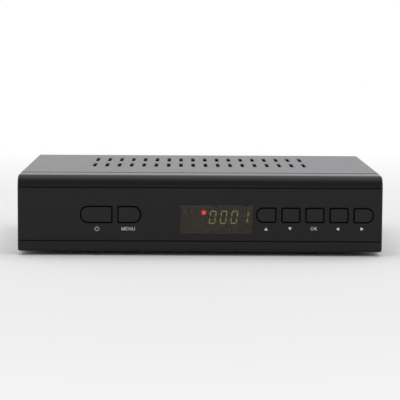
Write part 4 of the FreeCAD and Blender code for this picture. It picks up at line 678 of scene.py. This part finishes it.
def add_contacts(name, places, strip):
    """Contact strips with their middles at the given places (x, z)."""
    half, near, far, thin, bevel = strip
    work = bmesh.new()
    for x, z in places:
        add_strip(work, (x - half, near, z - thin), (x + half, far, z + thin), bevel)
    piece(name, work, "receiver", "contact_gold")


def add_socket_contacts():
    """Contact strips on the tongues of the picture and data sockets."""
    picture = []
    for count, rise in PICTURE_ROWS:
        steps = [(i - (count - 1) / 2) * PICTURE_PITCH for i in range(count)]
        picture += [(PICTURE_X + step, PICTURE_Z + rise) for step in steps]
    add_contacts("picture_contacts", picture, PICTURE_STRIP)
    data = [(DATA_X + step, DATA_Z - DATA_DROP) for step in DATA_STEPS]
    add_contacts("data_contacts", data, DATA_STRIP)


# ---- rocker ---------------------------------------------------------------------------------
ROCKER_X, PIVOT_Y, PIVOT_Z = -97.325, 152.5, 19.6
ROCKER_REACH, ROCKER_TIP_Y = 7.8, 3.9  # of a tip of its face, from the pivot
ROCKER_TIP = math.sqrt(ROCKER_REACH**2 - ROCKER_TIP_Y**2)
ROCKER_MIDDLE, ROCKER_DISH, ROCKER_TILT = 2.9, 1.0, math.radians(10.0)
SIGN_HALF, SIGN_BAR_HALF, SIGN_RING_HOLE = 1.5, 0.22, 1.08


def add_rocker_marks():
    """The on and off signs on the two halves of the rocker's face."""
    tilt = Matrix.Rotation(ROCKER_TILT, 3, "X")
    for name, side in (("on", 1), ("off", -1)):
        slope = Vector((0.0, side * ROCKER_DISH, ROCKER_TIP)).normalized()
        middle = tilt @ Vector((0.0, ROCKER_MIDDLE + ROCKER_DISH / 2, side * ROCKER_TIP / 2))
        origin = at(ROCKER_X, PIVOT_Y + middle.y, PIVOT_Z + middle.z)
        work = bmesh.new()
        if name == "on":
            w, h = SIGN_BAR_HALF, SIGN_HALF
            bar = [(-w, -h), (w, -h), (w, h), (-w, h)]
            add_prism(work, bar, origin, -RIGHTWARD, tilt @ slope, PRINT_SUNK, PRINT_PROUD)
        else:
            ellipses = [(r, r) for r in (SIGN_HALF, SIGN_RING_HOLE)]
            add_ring(work, origin, -RIGHTWARD, tilt @ slope, *ellipses)
        piece(f"print_{name}", work, "rocker", "tongue_white", PRINT)


# ---- stage ----------------------------------------------------------------------------------
FLOOR_HALF = 6.0  # m
FLOOR_FADE = (0.2, 0.8)  # distances from the origin where the floor starts to fade and is white, in m
FLOOR_GREY = srgb(236, 236, 236)
WORLD_LIGHT = 0.78
CEILING_LEAN = (0.0, -0.35, 1.0)  # the dimmer ceiling reaches lower in front than behind
CEILING_EDGE = (0.3, 0.6)  # how high the backdrop starts to dim and is at its dimmest
CEILING_GLOW = 0.42
LIGHTS = {  # place, what it is aimed at, width and depth in m, and power in W
    "top": ((0.0, 0.15, 1.4), (0.0, 0.1, 0.0), (1.4, 1.4), 6.0),
    "left": ((-1.3, -0.35, 0.35), (0.0, 0.0, 0.02), (0.5, 0.4), 1.2),
    "right": ((1.3, -0.35, 0.35), (0.0, 0.0, 0.02), (0.5, 0.4), 1.2),
}


def add_stage():
    """A plain pale floor that fades to the white of the backdrop away from the object."""
    mesh = bpy.data.meshes.new("floor")
    work = bmesh.new()
    bmesh.ops.create_grid(work, x_segments=1, y_segments=1, size=FLOOR_HALF)
    work.to_mesh(mesh)
    work.free()
    floor = bpy.data.objects.new("floor", mesh)
    bpy.context.scene.collection.objects.link(floor)
    look = Look("pale_floor", Roughness=0.9, Specular_IOR_Level=0.1)
    look.mottle(FLOOR_GREY, scale=3.0, amount=0.004)
    tree = look.tree
    away = add_math(tree, "ShaderNodeVectorMath", "LENGTH", look.place)["Value"]
    fade = add_range(tree, away, FLOOR_FADE, (0.0, 1.0), smooth=True)
    share = add_number_math(tree, "MULTIPLY", fade, shown_rays(tree))
    white = tree.nodes.new("ShaderNodeEmission")
    add_shader_mix(tree, share, look.shader, white, tree.nodes["Material Output"])
    mesh.materials.append(look.material)


def add_light(name, place, aim, size, watts):
    data = bpy.data.lights.new(name, "AREA")
    data.shape = "RECTANGLE"
    data.size, data.size_y = size
    data.energy = watts
    light = bpy.data.objects.new(name, data)
    light.location = place
    light.rotation_mode = "QUATERNION"
    light.rotation_quaternion = (Vector(aim) - Vector(place)).to_track_quat("-Z", "Y")
    bpy.context.scene.collection.objects.link(light)


def add_world():
    """A white backdrop under a dimmer ceiling, and an even white as light on the object."""
    world = bpy.data.worlds.new("studio")
    world.use_nodes = True
    bpy.context.scene.world = world
    tree = world.node_tree
    tree.nodes.clear()
    lighting, shown = (tree.nodes.new("ShaderNodeBackground") for _ in range(2))
    for background in (lighting, shown):
        background.inputs["Color"].default_value = WHITE
    lighting.inputs["Strength"].default_value = WORLD_LIGHT
    way = tree.nodes.new("ShaderNodeTexCoord").outputs["Generated"]
    height = add_math(tree, "ShaderNodeVectorMath", "DOT_PRODUCT", way, CEILING_LEAN)["Value"]
    glow = add_range(tree, height, CEILING_EDGE, (1.0, CEILING_GLOW), smooth=True)
    tree.links.new(glow, shown.inputs["Strength"])
    output = tree.nodes.new("ShaderNodeOutputWorld")
    add_shader_mix(tree, shown_rays(tree), lighting, shown, output)


# ---- the scene ------------------------------------------------------------------------------
add_camera()
dress_nodes()
for key, arrow in ARROWS.items():
    add_arrow_mark(key, *arrow)
for key, word in WORDS.items():
    add_word_mark(key, *word)
add_power_mark()
add_unlit_segments()
add_eye_rim()
add_aerial_sockets()
add_aerial_insulators()
add_socket_contacts()
add_rocker_marks()
add_stage()
add_world()
for key, light_values in LIGHTS.items():
    add_light(key, *light_values)

bpy.context.scene.view_settings.view_transform = "Standard"
